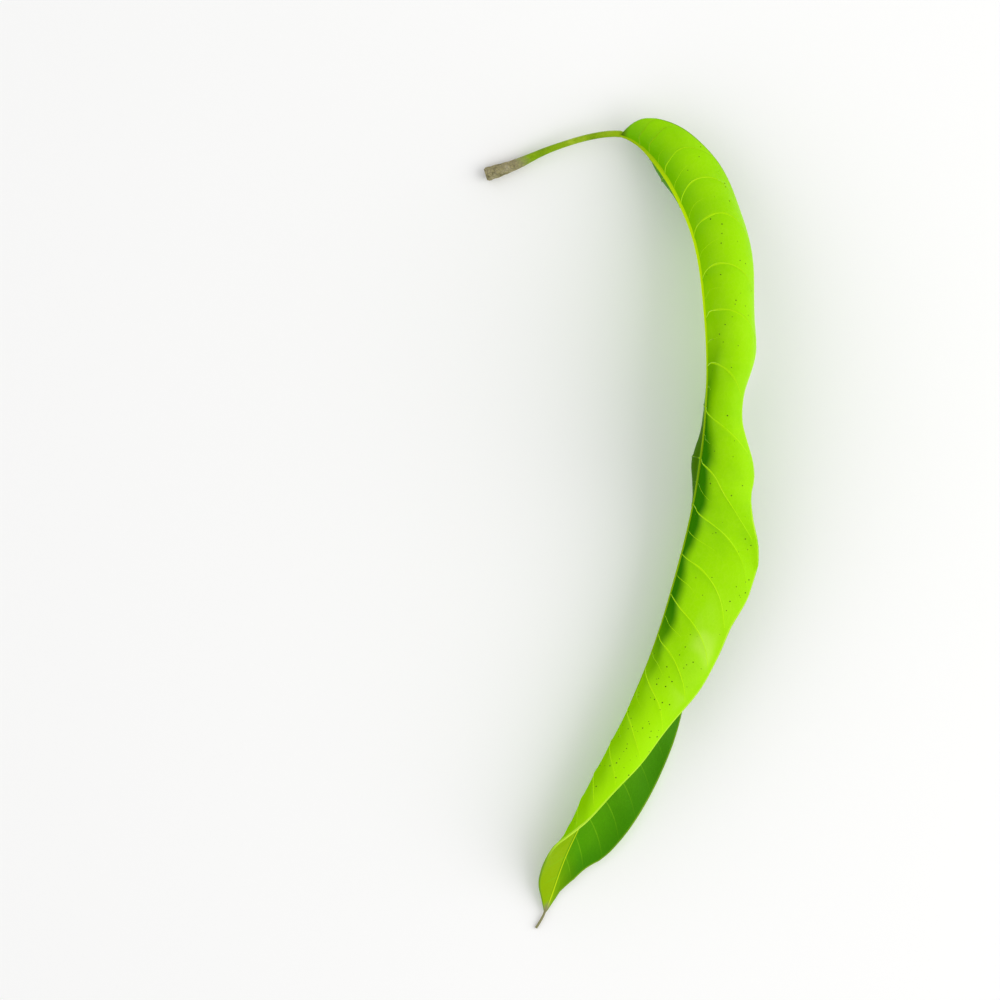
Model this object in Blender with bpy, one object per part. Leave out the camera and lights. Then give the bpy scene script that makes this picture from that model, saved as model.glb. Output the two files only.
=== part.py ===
"""A picked mango leaf that lies on its side on a flat surface.

The blade is curled along its midrib into a trough that opens to the right.
The near half rises from the midrib and curls over, so it shows its lower face from above.
The far half hangs from the midrib down to the surface and rests there on a flat spot.
The stalk has a swollen foot, and the blade ends in a thin drip tip.
All lengths below are in millimetres and all angles in degrees.
"""

import bmesh
import bpy
import numpy as np

NAME = "mango_leaf"
MM = 0.001
LEAF_COLOR = (0.330, 0.680, 0.006)
LEAF_ROUGHNESS = 0.45
SHARP_ANGLE = 50.0

# The middle line, as x, y and height: stalk, midrib and drip tip.
STALK_LINE = [
    (-40.3, 106.1, 1.9),
    (-30.9, 109.3, 2.2),
    (-23.2, 112.8, 2.9),
    (-15.5, 115.6, 3.8),
    (-6.6, 117.8, 5.1),
]
MIDRIB_LINE = [
    (0.9, 117.6, 6.5),
    (9.9, 111.6, 11.2),
    (17.3, 100.4, 17.2),
    (23.1, 86.0, 22.6),
    (26.1, 66.6, 25.4),
    (27.1, 49.0, 25.6),
    (26.4, 30.3, 24.2),
    (23.2, 7.9, 21.4),
    (17.1, -16.7, 18.6),
    (9.0, -41.8, 15.4),
    (2.3, -57.8, 12.8),
    (-10.5, -88.0, 6.6),
    (-16.8, -101.8, 3.9),
    (-20.3, -111.9, 2.0),
    (-22.3, -117.1, 1.1),
]
TIP_LINE = [
    (-23.2, -119.0, 0.7),
    (-25.0, -122.0, 0.34),
]

# Cross-sections of the blade, by share of its length from stalk to tip:
# width of the near half, seen width of the near half from above,
# near half's angle at the midrib, past its shoulder and at its margin (0 is level, 90 upright),
# height of the far half's margin, and how far that half bends in its shoulder and beyond it.
SECTIONS = [
    (0.000, 0.0, 0.5, 62, 40, 10, 6.0, 10, 20),
    (0.020, 8.4, 7.3, 62, 38, -6, 3.4, 24, 34),
    (0.035, 11.5, 9.9, 63, 35, -20, 2.8, 38, 44),
    (0.050, 13.7, 11.9, 64, 32, -32, 2.4, 52, 50),
    (0.075, 16.3, 13.7, 66, 33, -46, 2.6, 52, 50),
    (0.100, 18.2, 15.1, 68, 34, -58, 3.0, 36, 48),
    (0.160, 20.9, 15.5, 72, 40, -72, 4.6, 18, 46),
    (0.230, 22.9, 14.6, 76, 44, -80, 5.2, 16, 46),
    (0.265, 23.5, 14.3, 78, 48, -80, 5.1, 16, 46),
    (0.300, 24.0, 13.8, 82, 54, -80, 4.8, 16, 46),
    (0.350, 24.4, 10.0, 90, 60, -70, 3.4, 20, 46),
    (0.375, 24.6, 10.5, 90, 56, -62, 2.6, 24, 44),
    (0.400, 24.7, 12.9, 88, 48, -58, 2.4, 34, 43),
    (0.420, 24.8, 14.9, 87, 45, -56, 2.6, 48, 46),
    (0.437, 24.8, 15.8, 86, 42, -54, 2.8, 57, 46),
    (0.455, 24.8, 15.6, 84, 36, -50, 2.0, 46, 46),
    (0.480, 24.7, 17.5, 78, 26, -40, 0.6, 25, 48),
    (0.510, 24.5, 21.2, 72, 16, -26, -0.7, 14, 52),
    (0.540, 24.4, 23.0, 68, 16, -24, -1.3, 12, 56),
    (0.570, 24.1, 22.3, 66, 18, -26, -1.5, 12, 56),
    (0.605, 23.4, 19.8, 66, 20, -30, -1.2, 12, 50),
    (0.640, 22.5, 19.1, 68, 22, -34, -0.8, 14, 44),
    (0.675, 21.4, 17.4, 74, 30, -38, 0.0, 14, 36),
    (0.710, 20.2, 14.6, 84, 40, -42, 0.8, 14, 32),
    (0.745, 19.3, 12.2, 96, 52, -42, 2.0, 12, 24),
    (0.780, 18.2, 9.6, 108, 62, -40, 3.2, 12, 22),
    (0.840, 15.7, 4.0, 124, 90, 0, 4.2, 8, 12),
    (0.885, 13.0, 0.0, 134, 106, 46, 3.8, 6, 10),
    (0.907, 11.2, -2.7, 138, 118, 80, 3.3, 5, 9),
    (0.930, 8.3, -4.5, 142, 132, 116, 2.8, 4, 8),
    (0.952, 6.1, -5.1, 148, 146, 142, 2.2, 4, 4),
    (0.972, 4.3, -3.9, 156, 156, 154, 1.6, 2, 2),
    (0.986, 2.1, -1.9, 158, 158, 158, 1.3, 2, 2),
    (1.000, 0.0, -0.25, 160, 160, 160, 1.1, 2, 2),
]
SHOULDER_SHARE = 0.2
FAR_STRAIGHT_SHARE = 0.08
# The far half is narrower than the near half close to the tip, as a share of it.
FAR_WIDTH_SHARES = [0.0, 0.92, 0.952, 0.972, 0.986, 1.0]
FAR_WIDTH = [1.0, 1.0, 0.74, 0.36, 0.34, 0.34]

# Where the main side veins leave the midrib, as shares of the blade's length.
SIDE_VEINS = [
    0.028, 0.045, 0.078, 0.121, 0.165, 0.216, 0.262, 0.318, 0.367, 0.427, 0.482, 0.542,
    0.591, 0.641, 0.684, 0.729, 0.770, 0.806, 0.840, 0.872, 0.902, 0.930, 0.955, 0.977,
]
VEIN_RIDGE = 0.26
VEIN_FADE = 0.5
# How far a side vein sweeps towards the tip, in half widths: its even part and its curved part.
SWEEP_SHARES = [0.0, 0.05, 0.12, 0.20, 0.30, 0.36, 0.43, 0.52, 0.70, 1.0]
SWEEP_EVEN = [0.0, -0.22, -0.50, -0.45, -0.25, -0.12, 0.05, 0.24, 0.40, 0.60]
SWEEP_CURVED = [0.0, 0.40, 0.90, 0.80, 0.65, 0.62, 1.0, 0.62, 0.35, 0.20]

# The blade itself.
THICKNESS_AT_RIB = 0.74
THICKNESS_AT_MARGIN = 0.66
QUILTING = 0.12
MARGIN_WAVE = 0.35
MARGIN_WAVES = 9.0

# The midrib: half width, depth below the lower face and height above the upper face.
RIB_SHARES = [0.0, 0.05, 0.12, 0.35, 0.60, 0.85, 1.0]
RIB_HALF_WIDTH = [1.00, 0.98, 0.92, 0.62, 0.46, 0.34, 0.30]
RIB_DEPTH = [0.72, 0.72, 0.68, 0.50, 0.40, 0.25, 0.10]
RIB_RISE = [0.64, 0.25, 0.16, 0.14, 0.12, 0.10, 0.04]

# The stalk's radius by distance from its foot, the ring wrinkles on the foot, and the length
# over which the stalk eases sideways into the midrib's section.
STALK_AT = [0.0, 0.6, 2.5, 7.0, 12.0, 17.0, 23.0, 33.0, 43.0]
STALK_RADIUS = [1.70, 1.98, 2.02, 1.74, 1.46, 1.16, 0.98, 0.94, 1.00]
WRINKLE_SHARE = 0.05
WRINKLE_PITCH = 3.0
WRINKLED_LENGTH = 14.0
EASED_LENGTH = 12.0

# How finely the mesh follows the shape.
ROWS_BETWEEN_VEINS = (0.0, 0.14, 0.38, 0.62, 0.86)
COLUMNS = (0.0, 0.06, 0.16, 0.28, 0.42, 0.57, 0.73, 0.88, 1.0)
RIB_STEPS = 4
STALK_ROWS = (0.0, 0.6, 1.5, 3.0, 4.5, 6.0, 7.5, 9.0, 11.0, 14.0, 18.0, 23.0, 28.0, 33.0, 38.0)
TIP_ROWS = (0.35, 0.7, 1.0)
PATH_SAMPLES = 4000


def smooth(knots, values, at):
    """A cubic curve through the points, with three-point slopes."""
    x = np.asarray(knots, float)
    y = np.asarray(values, float)
    step = np.diff(x)
    rise = np.diff(y) / step
    slope = np.empty_like(y)
    slope[1:-1] = (rise[:-1] * step[1:] + rise[1:] * step[:-1]) / (step[1:] + step[:-1])
    slope[0] = 1.5 * rise[0] - 0.5 * slope[1]
    slope[-1] = 1.5 * rise[-1] - 0.5 * slope[-2]
    i = np.clip(np.searchsorted(x, at) - 1, 0, len(x) - 2)
    h = x[i + 1] - x[i]
    t = (at - x[i]) / h
    back = 1 - t
    start = (1 + 2 * t) * back ** 2 * y[i] + t * back ** 2 * h * slope[i]
    end = t ** 2 * (3 - 2 * t) * y[i + 1] - t ** 2 * back * h * slope[i + 1]
    return start + end


class MiddleLine:
    """The natural cubic spline through stalk, midrib and drip tip, by true distance."""

    def __init__(self):
        points = np.array(STALK_LINE + MIDRIB_LINE + TIP_LINE)
        chord = np.concatenate([[0], np.cumsum(np.linalg.norm(np.diff(points, axis=0), axis=1))])
        count = len(points)
        step = np.diff(chord)
        rise = np.diff(points, axis=0) / step[:, None]
        matrix = np.eye(count)
        right = np.zeros((count, 3))
        for i in range(1, count - 1):
            matrix[i, i - 1:i + 2] = step[i - 1], 2 * (step[i - 1] + step[i]), step[i]
            right[i] = 6 * (rise[i] - rise[i - 1])
        bend = np.linalg.solve(matrix, right)
        at = np.linspace(0, chord[-1], PATH_SAMPLES)
        i = np.clip(np.searchsorted(chord, at) - 1, 0, count - 2)
        h = step[i][:, None]
        b = (at - chord[i])[:, None] / h
        a = 1 - b
        curve = a * points[i] + b * points[i + 1]
        curve = curve + ((a ** 3 - a) * bend[i] + (b ** 3 - b) * bend[i + 1]) * h ** 2 / 6
        self.curve = curve
        self.far = np.concatenate([[0], np.cumsum(np.linalg.norm(np.diff(curve, axis=0), axis=1))])
        self.blade_start = np.interp(chord[len(STALK_LINE)], at, self.far)
        tip = chord[len(STALK_LINE) + len(MIDRIB_LINE) - 1]
        self.blade_end = np.interp(tip, at, self.far)
        self.end = self.far[-1]

    def point(self, distance):
        """The points at these distances from the foot."""
        return np.stack([np.interp(distance, self.far, self.curve[:, k]) for k in range(3)], -1)

    def frame(self, distance):
        """The points, with the level direction to the right and the one that rises."""
        reach = 0.5
        ahead = self.point(np.clip(distance + reach, 0, self.end))
        behind = self.point(np.clip(distance - reach, 0, self.end))
        along = ahead - behind
        along /= np.linalg.norm(along, axis=-1, keepdims=True)
        right = np.stack([-along[..., 1], along[..., 0], 0 * along[..., 0]], -1)
        right /= np.linalg.norm(right, axis=-1, keepdims=True)
        return self.point(distance), right, np.cross(along, right)


LINE = MiddleLine()
BLADE_LENGTH = LINE.blade_end - LINE.blade_start


def section(share, column):
    """One column of the cross-section table at these shares of the blade's length."""
    table = np.array(SECTIONS)
    return smooth(table[:, 0], table[:, column], share)


def half_width(share, side=1):
    narrowed = 1.0 if side > 0 else np.interp(share, FAR_WIDTH_SHARES, FAR_WIDTH)
    return np.maximum(section(share, 1), 0.0) * narrowed


def mean_cosine(start, end):
    """The mean cosine over an even turn between two angles."""
    turn = np.where(np.abs(end - start) < 1e-4, 1e-4, end - start)
    return (np.sin(start + turn) - np.sin(start)) / turn


def bent(y, stretches, angles):
    """Offset and angle at distance y, along a straight stretch and then two arcs."""
    edges = np.cumsum(np.stack(np.broadcast_arrays(*stretches)), axis=0)
    x = 0 * y
    z = 0 * y
    heading = angles[0] + 0 * y
    for k, stretch in enumerate(stretches):
        start = edges[k] - stretch
        part = np.clip(y - start, 0, stretch if k < 2 else None)
        turn = (angles[k] - angles[k - 1]) * part / np.maximum(stretch, 1e-6) if k else 0 * part
        before = angles[max(k - 1, 0)]
        reach = part * np.sinc(turn / (2 * np.pi))
        x = x + reach * np.cos(before + turn / 2)
        z = z + reach * np.sin(before + turn / 2)
        heading = np.where(part > 0, before + turn, heading)
    return x, z, heading


def near_half(share, y):
    """Cross-section of the near half, straight for as long as its seen width asks for."""
    rib = smooth(RIB_SHARES, RIB_HALF_WIDTH, share)
    width = np.maximum(half_width(share), 0.05)
    root, shoulder, margin = (np.radians(section(share, k)) for k in (3, 4, 5))
    outer = mean_cosine(shoulder, margin)
    seen = (section(share, 2) - rib * np.cos(root)) / width
    excess = SHOULDER_SHARE * mean_cosine(root, shoulder) + (1 - SHOULDER_SHARE) * outer - seen
    drop = outer - np.cos(root)
    straight = np.clip(excess / np.where(np.abs(drop) < 1e-3, 1e-3, drop), 0.0, 0.6)
    stretches = (rib + straight * width, SHOULDER_SHARE * width,
                 (1 - SHOULDER_SHARE - straight) * width)
    return bent(y + rib, stretches, (root, shoulder, margin))


def far_half(share, y, height, lift):
    """Cross-section of the far half, swung until its margin is at its height."""
    rib = smooth(RIB_SHARES, RIB_HALF_WIDTH, share)
    width = np.maximum(half_width(share, -1), 0.05)
    shoulder = np.radians(section(share, 7))
    margin = shoulder + np.radians(section(share, 8))
    stretches = (rib + FAR_STRAIGHT_SHARE * width, SHOULDER_SHARE * width,
                 (1 - SHOULDER_SHARE - FAR_STRAIGHT_SHARE) * width)
    x, z, _ = bent(rib + width, stretches, (0 * width, shoulder, margin))
    fall = (section(share, 6) - height) / lift / np.hypot(x, z)
    swing = np.arcsin(np.clip(fall, -0.999, 0.999)) - np.arctan2(z, x)
    return bent(y + rib, stretches, (swing, swing + shoulder, swing + margin))


def wave(share, u, side):
    """How far the blade bows off its section between the side veins and along its margin."""
    veins = np.array([0.0] + SIDE_VEINS + [1.0])
    i = np.clip(np.searchsorted(veins, share, side="right") - 1, 0, len(veins) - 2)
    phase = (share - veins[i]) / (veins[i + 1] - veins[i])
    ends = np.clip(np.minimum(share, 1 - share) / 0.08, 0, 1)
    bow = QUILTING * np.sin(np.pi * phase) * np.sin(np.pi * np.clip(u, 0, 1)) * ends
    ripple = MARGIN_WAVE * np.sin(2 * np.pi * MARGIN_WAVES * share + side) * u ** 2 * ends
    return bow + ripple


def lamina(row, u, side):
    """Middle surface and its upward side for one half: rows follow the side veins."""
    sweep = np.interp(row, SWEEP_SHARES, SWEEP_EVEN) * u
    sweep = sweep + np.interp(row, SWEEP_SHARES, SWEEP_CURVED) * u ** 3
    reach = half_width(row) / BLADE_LENGTH
    share = np.clip(row + reach * sweep, 0, 1)
    ends_at = row + reach * (np.interp(row, SWEEP_SHARES, SWEEP_EVEN)
                             + np.interp(row, SWEEP_SHARES, SWEEP_CURVED))
    y = u * half_width(np.clip(ends_at, 0, 1), side)
    centre, right, up = LINE.frame(LINE.blade_start + share * BLADE_LENGTH)
    if side > 0:
        x, z, heading = near_half(share, y)
        facing = right * np.sin(heading)[..., None] - up * np.cos(heading)[..., None]
    else:
        x, z, heading = far_half(share, y, centre[..., 2], up[..., 2])
        facing = up * np.cos(heading)[..., None] - right * np.sin(heading)[..., None]
    place = centre + right * x[..., None] + up * z[..., None]
    place = place + facing * wave(row, u, side)[..., None]
    half = thickness(u) / 2
    pressed = place[..., 2] <= half
    place[..., 2] = np.maximum(place[..., 2], half)
    facing[pressed] = (0.0, 0.0, 1.0)
    return place, facing


def thickness(u):
    return THICKNESS_AT_RIB + (THICKNESS_AT_MARGIN - THICKNESS_AT_RIB) * u


def rib_arc(first, last, away, depth):
    """Points between two edges of the rib, on half an ellipse that bulges away from the blade."""
    angle = np.pi * np.arange(1, RIB_STEPS) / RIB_STEPS
    middle = (first + last) / 2
    across = (last - first) / 2
    return [middle - across * np.cos(a) + away * depth * np.sin(a) for a in angle]


def blade_rows():
    """Shares of the blade's length at which a row leaves the midrib, and which are veins."""
    veins = [0.0] + SIDE_VEINS + [1.0]
    rows = []
    for start, end in zip(veins, veins[1:]):
        rows += [(start + (end - start) * k, k == 0.0 and start > 0) for k in ROWS_BETWEEN_VEINS]
    return rows + [(1.0, False)]


class LeafMesh:
    """Rings of points from foot to tip, each an upper and a lower side that meet at the edges."""

    def __init__(self):
        self.mesh = bmesh.new()
        self.upper = []
        self.lower = []
        self.reach = len(COLUMNS) - 1

    def vertex(self, place):
        x, y, z = place
        return self.mesh.verts.new((x * MM, y * MM, max(z, 0.0) * MM))

    def add_core(self, upper, lower):
        """A ring with no blade: its outer columns all stand on the rib's edges."""
        for points, side in ((upper, self.upper), (lower, self.lower)):
            made = [self.vertex(p) for p in points]
            side.append([made[0]] * self.reach + made + [made[-1]] * self.reach)

    def add_blade(self, upper, lower):
        for points, side in ((upper, self.upper), (lower, self.lower)):
            side.append([self.vertex(p) for p in points])

    def quad(self, a, b, c, d, flip):
        """Two triangles, without the ones that have no area."""
        for corners in ((a, b, c), (a, c, d)):
            if len(set(corners)) == len(corners):
                self.mesh.faces.new(corners[::-1] if flip else corners)

    def skin(self):
        """Triangles between the rings, split alike on both sides, and the two end caps."""
        up, low = self.upper, self.lower
        rows = len(up)
        last = len(up[0]) - 1
        for i in range(rows - 1):
            for j in range(last):
                for side, flip in ((up, False), (low, True)):
                    self.quad(side[i][j], side[i + 1][j], side[i + 1][j + 1], side[i][j + 1], flip)
            for j, flip in ((0, True), (last, False)):
                self.quad(up[i][j], up[i + 1][j], low[i + 1][j], low[i][j], flip)
        for i, flip in ((0, True), (rows - 1, False)):
            for j in range(self.reach, last - self.reach):
                self.quad(up[i][j], up[i][j + 1], low[i][j + 1], low[i][j], flip)

    def finish(self):
        """The mesh, with the middle of its box over the origin and its lowest point at 0."""
        corners = np.array([vertex.co[:] for vertex in self.mesh.verts])
        centre = (corners.min(0) + corners.max(0)) / 2
        for vertex in self.mesh.verts:
            vertex.co.x -= centre[0]
            vertex.co.y -= centre[1]
        bmesh.ops.recalc_face_normals(self.mesh, faces=self.mesh.faces)
        data = bpy.data.meshes.new(NAME)
        self.mesh.to_mesh(data)
        self.mesh.free()
        return data


def core_ring(centre, first, last, away, radius):
    """The round section of stalk and drip tip, with short flats where the blade would start."""
    flat = THICKNESS_AT_RIB / 2
    edges = [centre + first * radius, centre + last * radius]
    sides = []
    for sign in (-1, 1):
        start, end = (edge + away * sign * flat for edge in edges)
        bulge = max(radius - flat, 0.02)
        sides.append([start] + rib_arc(start, end, away * sign, bulge) + [end])
    return sides


def rib_directions(share, right, up, height):
    """Directions from the midrib's middle to its near and far edges, and away from the trough."""
    one = np.array([share])
    near = near_half(one, np.zeros(1))[2][0]
    far = far_half(one, np.zeros(1), height, up[2])[2][0]
    first = right * np.cos(near) + up * np.sin(near)
    last = right * np.cos(far) + up * np.sin(far)
    inward = (right * np.sin(near) - up * np.cos(near)) + (up * np.cos(far) - right * np.sin(far))
    return first, last, -inward / np.linalg.norm(inward)


def core_rings(leaf, share, distances, radii):
    """Rings of stalk or drip tip, each turned the way that the blade lies where it starts."""
    centre, right, up = LINE.frame(np.array(LINE.blade_start + share * BLADE_LENGTH))
    first, last, away = rib_directions(share, right, up, centre[2])
    across = np.cross(away, np.cross(right, up))
    turn = np.array([across @ right, across @ up])
    turn /= np.linalg.norm(turn) * np.sign(across @ first)
    middle = (first + last) / 2 * smooth(RIB_SHARES, RIB_HALF_WIDTH, share)
    place = LINE.blade_start + share * BLADE_LENGTH
    for distance, radius in zip(distances, radii):
        centre, right, up = LINE.frame(np.array(distance))
        eased = np.clip(1 - abs(distance - place) / EASED_LENGTH, 0, 1) ** 2
        centre = centre + middle * eased
        first = right * turn[0] + up * turn[1]
        away = right * -turn[1] + up * turn[0]
        leaf.add_core(*core_ring(centre, first, -first, away, radius))


def stalk_rings(leaf):
    """The stalk, with ring wrinkles that fade away from its foot."""
    distances = np.array(STALK_ROWS)
    fade = np.clip(1 - distances / WRINKLED_LENGTH, 0, 1)
    wrinkle = WRINKLE_SHARE * fade * np.sin(2 * np.pi * distances / WRINKLE_PITCH)
    core_rings(leaf, 0.0, distances, smooth(STALK_AT, STALK_RADIUS, distances) * (1 + wrinkle))


def blade_rings(leaf):
    """The blade with its midrib: each ring runs from the near margin to the far margin."""
    rows = blade_rows()
    shares = np.array([share for share, _ in rows])
    row, u = np.meshgrid(shares, np.array(COLUMNS), indexing="ij")
    near, near_facing = lamina(row, u, 1)
    far, far_facing = lamina(row, u, -1)
    half = thickness(u)[..., None] / 2
    relief = [VEIN_RIDGE * (1 - VEIN_FADE * share) if vein else 0.0 for share, vein in rows]
    ridge = np.array(relief)[:, None, None]
    ridge = ridge * np.clip(4 * (1 - u), 0, 1)[..., None]
    for i, share in enumerate(shares):
        centre, right, up = LINE.frame(LINE.blade_start + share * BLADE_LENGTH)
        _, _, away = rib_directions(share, right, up, centre[2])
        depth = smooth(RIB_SHARES, RIB_DEPTH, share)
        rise = smooth(RIB_SHARES, RIB_RISE, share)
        sides = []
        for sign, bulge, extra in ((1, rise, 0 * ridge[i]), (-1, depth, ridge[i])):
            near_side = near[i] + sign * near_facing[i] * (half[i] + extra)
            far_side = far[i] + sign * far_facing[i] * (half[i] + extra)
            middle = rib_arc(near_side[0], far_side[0], -sign * away, bulge)
            sides.append(list(near_side[::-1]) + middle + list(far_side))
        if 0 < share < 1:
            leaf.add_blade(*sides)
        else:
            reach = len(COLUMNS) - 1
            leaf.add_core(sides[0][reach:-reach], sides[1][reach:-reach])


def tip_rings(leaf):
    """The drip tip: a thin thread past the end of the blade."""
    distances = LINE.blade_end + (LINE.end - LINE.blade_end) * np.array(TIP_ROWS)
    core_rings(leaf, 1.0, distances, [RIB_HALF_WIDTH[-1]] * len(TIP_ROWS))


def leaf_material():
    made = bpy.data.materials.new("leaf")
    made.use_nodes = True
    shader = made.node_tree.nodes["Principled BSDF"]
    shader.inputs["Base Color"].default_value = (*LEAF_COLOR, 1.0)
    shader.inputs["Roughness"].default_value = LEAF_ROUGHNESS
    shader.inputs["Metallic"].default_value = 0.0
    made.diffuse_color = (*LEAF_COLOR, 1.0)
    return made


def build():
    for item in list(bpy.data.objects):
        bpy.data.objects.remove(item, do_unlink=True)
    leaf = LeafMesh()
    stalk_rings(leaf)
    blade_rings(leaf)
    tip_rings(leaf)
    leaf.skin()
    data = leaf.finish()
    data.materials.append(leaf_material())
    data.shade_smooth()
    data.set_sharp_from_angle(angle=np.radians(SHARP_ANGLE))
    bpy.context.scene.collection.objects.link(bpy.data.objects.new(NAME, data))


build()
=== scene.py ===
"""The looks of a picked mango leaf that lies on its side on a pale floor.

The blade is curled along its midrib into a trough that opens to the right. Its near half shows
the lower face from above. The fine blade replaces the plain one and keeps its form. Raised veins,
a pale margin and dark specks lie on it. Form sizes are in millimetres and degrees.
"""

import logging
from dataclasses import dataclass
from enum import Enum
from typing import Any

import bpy
import numpy as np
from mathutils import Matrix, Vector


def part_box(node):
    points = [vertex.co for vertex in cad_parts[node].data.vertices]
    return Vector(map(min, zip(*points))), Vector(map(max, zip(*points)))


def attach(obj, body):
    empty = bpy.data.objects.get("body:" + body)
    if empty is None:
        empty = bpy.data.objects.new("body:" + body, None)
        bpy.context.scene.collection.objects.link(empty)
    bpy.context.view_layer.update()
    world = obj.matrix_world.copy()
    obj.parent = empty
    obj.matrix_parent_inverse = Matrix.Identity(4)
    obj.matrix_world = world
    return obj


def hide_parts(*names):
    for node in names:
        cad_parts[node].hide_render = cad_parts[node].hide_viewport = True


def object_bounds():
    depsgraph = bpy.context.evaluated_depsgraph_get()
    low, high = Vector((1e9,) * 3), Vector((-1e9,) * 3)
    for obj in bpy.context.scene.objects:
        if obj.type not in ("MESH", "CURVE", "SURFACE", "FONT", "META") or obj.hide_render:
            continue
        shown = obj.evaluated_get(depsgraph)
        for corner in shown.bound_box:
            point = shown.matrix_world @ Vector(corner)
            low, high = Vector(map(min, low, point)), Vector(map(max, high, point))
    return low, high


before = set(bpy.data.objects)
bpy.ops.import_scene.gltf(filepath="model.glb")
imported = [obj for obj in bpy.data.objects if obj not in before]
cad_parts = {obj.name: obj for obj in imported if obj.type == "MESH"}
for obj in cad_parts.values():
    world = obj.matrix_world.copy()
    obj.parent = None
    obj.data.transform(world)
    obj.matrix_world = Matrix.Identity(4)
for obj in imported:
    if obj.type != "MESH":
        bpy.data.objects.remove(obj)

CAD_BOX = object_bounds()
NODE = "mango_leaf"
BODY = "root"
MM = 0.001

Array = np.ndarray
Color = tuple[float, float, float]
Place = tuple[float, float, float]
Row = tuple[float, ...]
Table = tuple[Row, ...]
Span = tuple[float, ...]
Spans = tuple[Span, Span]
log = logging.getLogger("mango_leaf")


class Half(Enum):
    """The two halves of the blade, either side of the midrib."""

    NEAR = 1
    FAR = -1


class Skin(Enum):
    """The two faces of the blade, in the order in which rings are kept."""

    UPPER = 0
    LOWER = 1


class Order(Enum):
    """How strong a side vein is."""

    MAIN = "main"
    MINOR = "minor"


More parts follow.
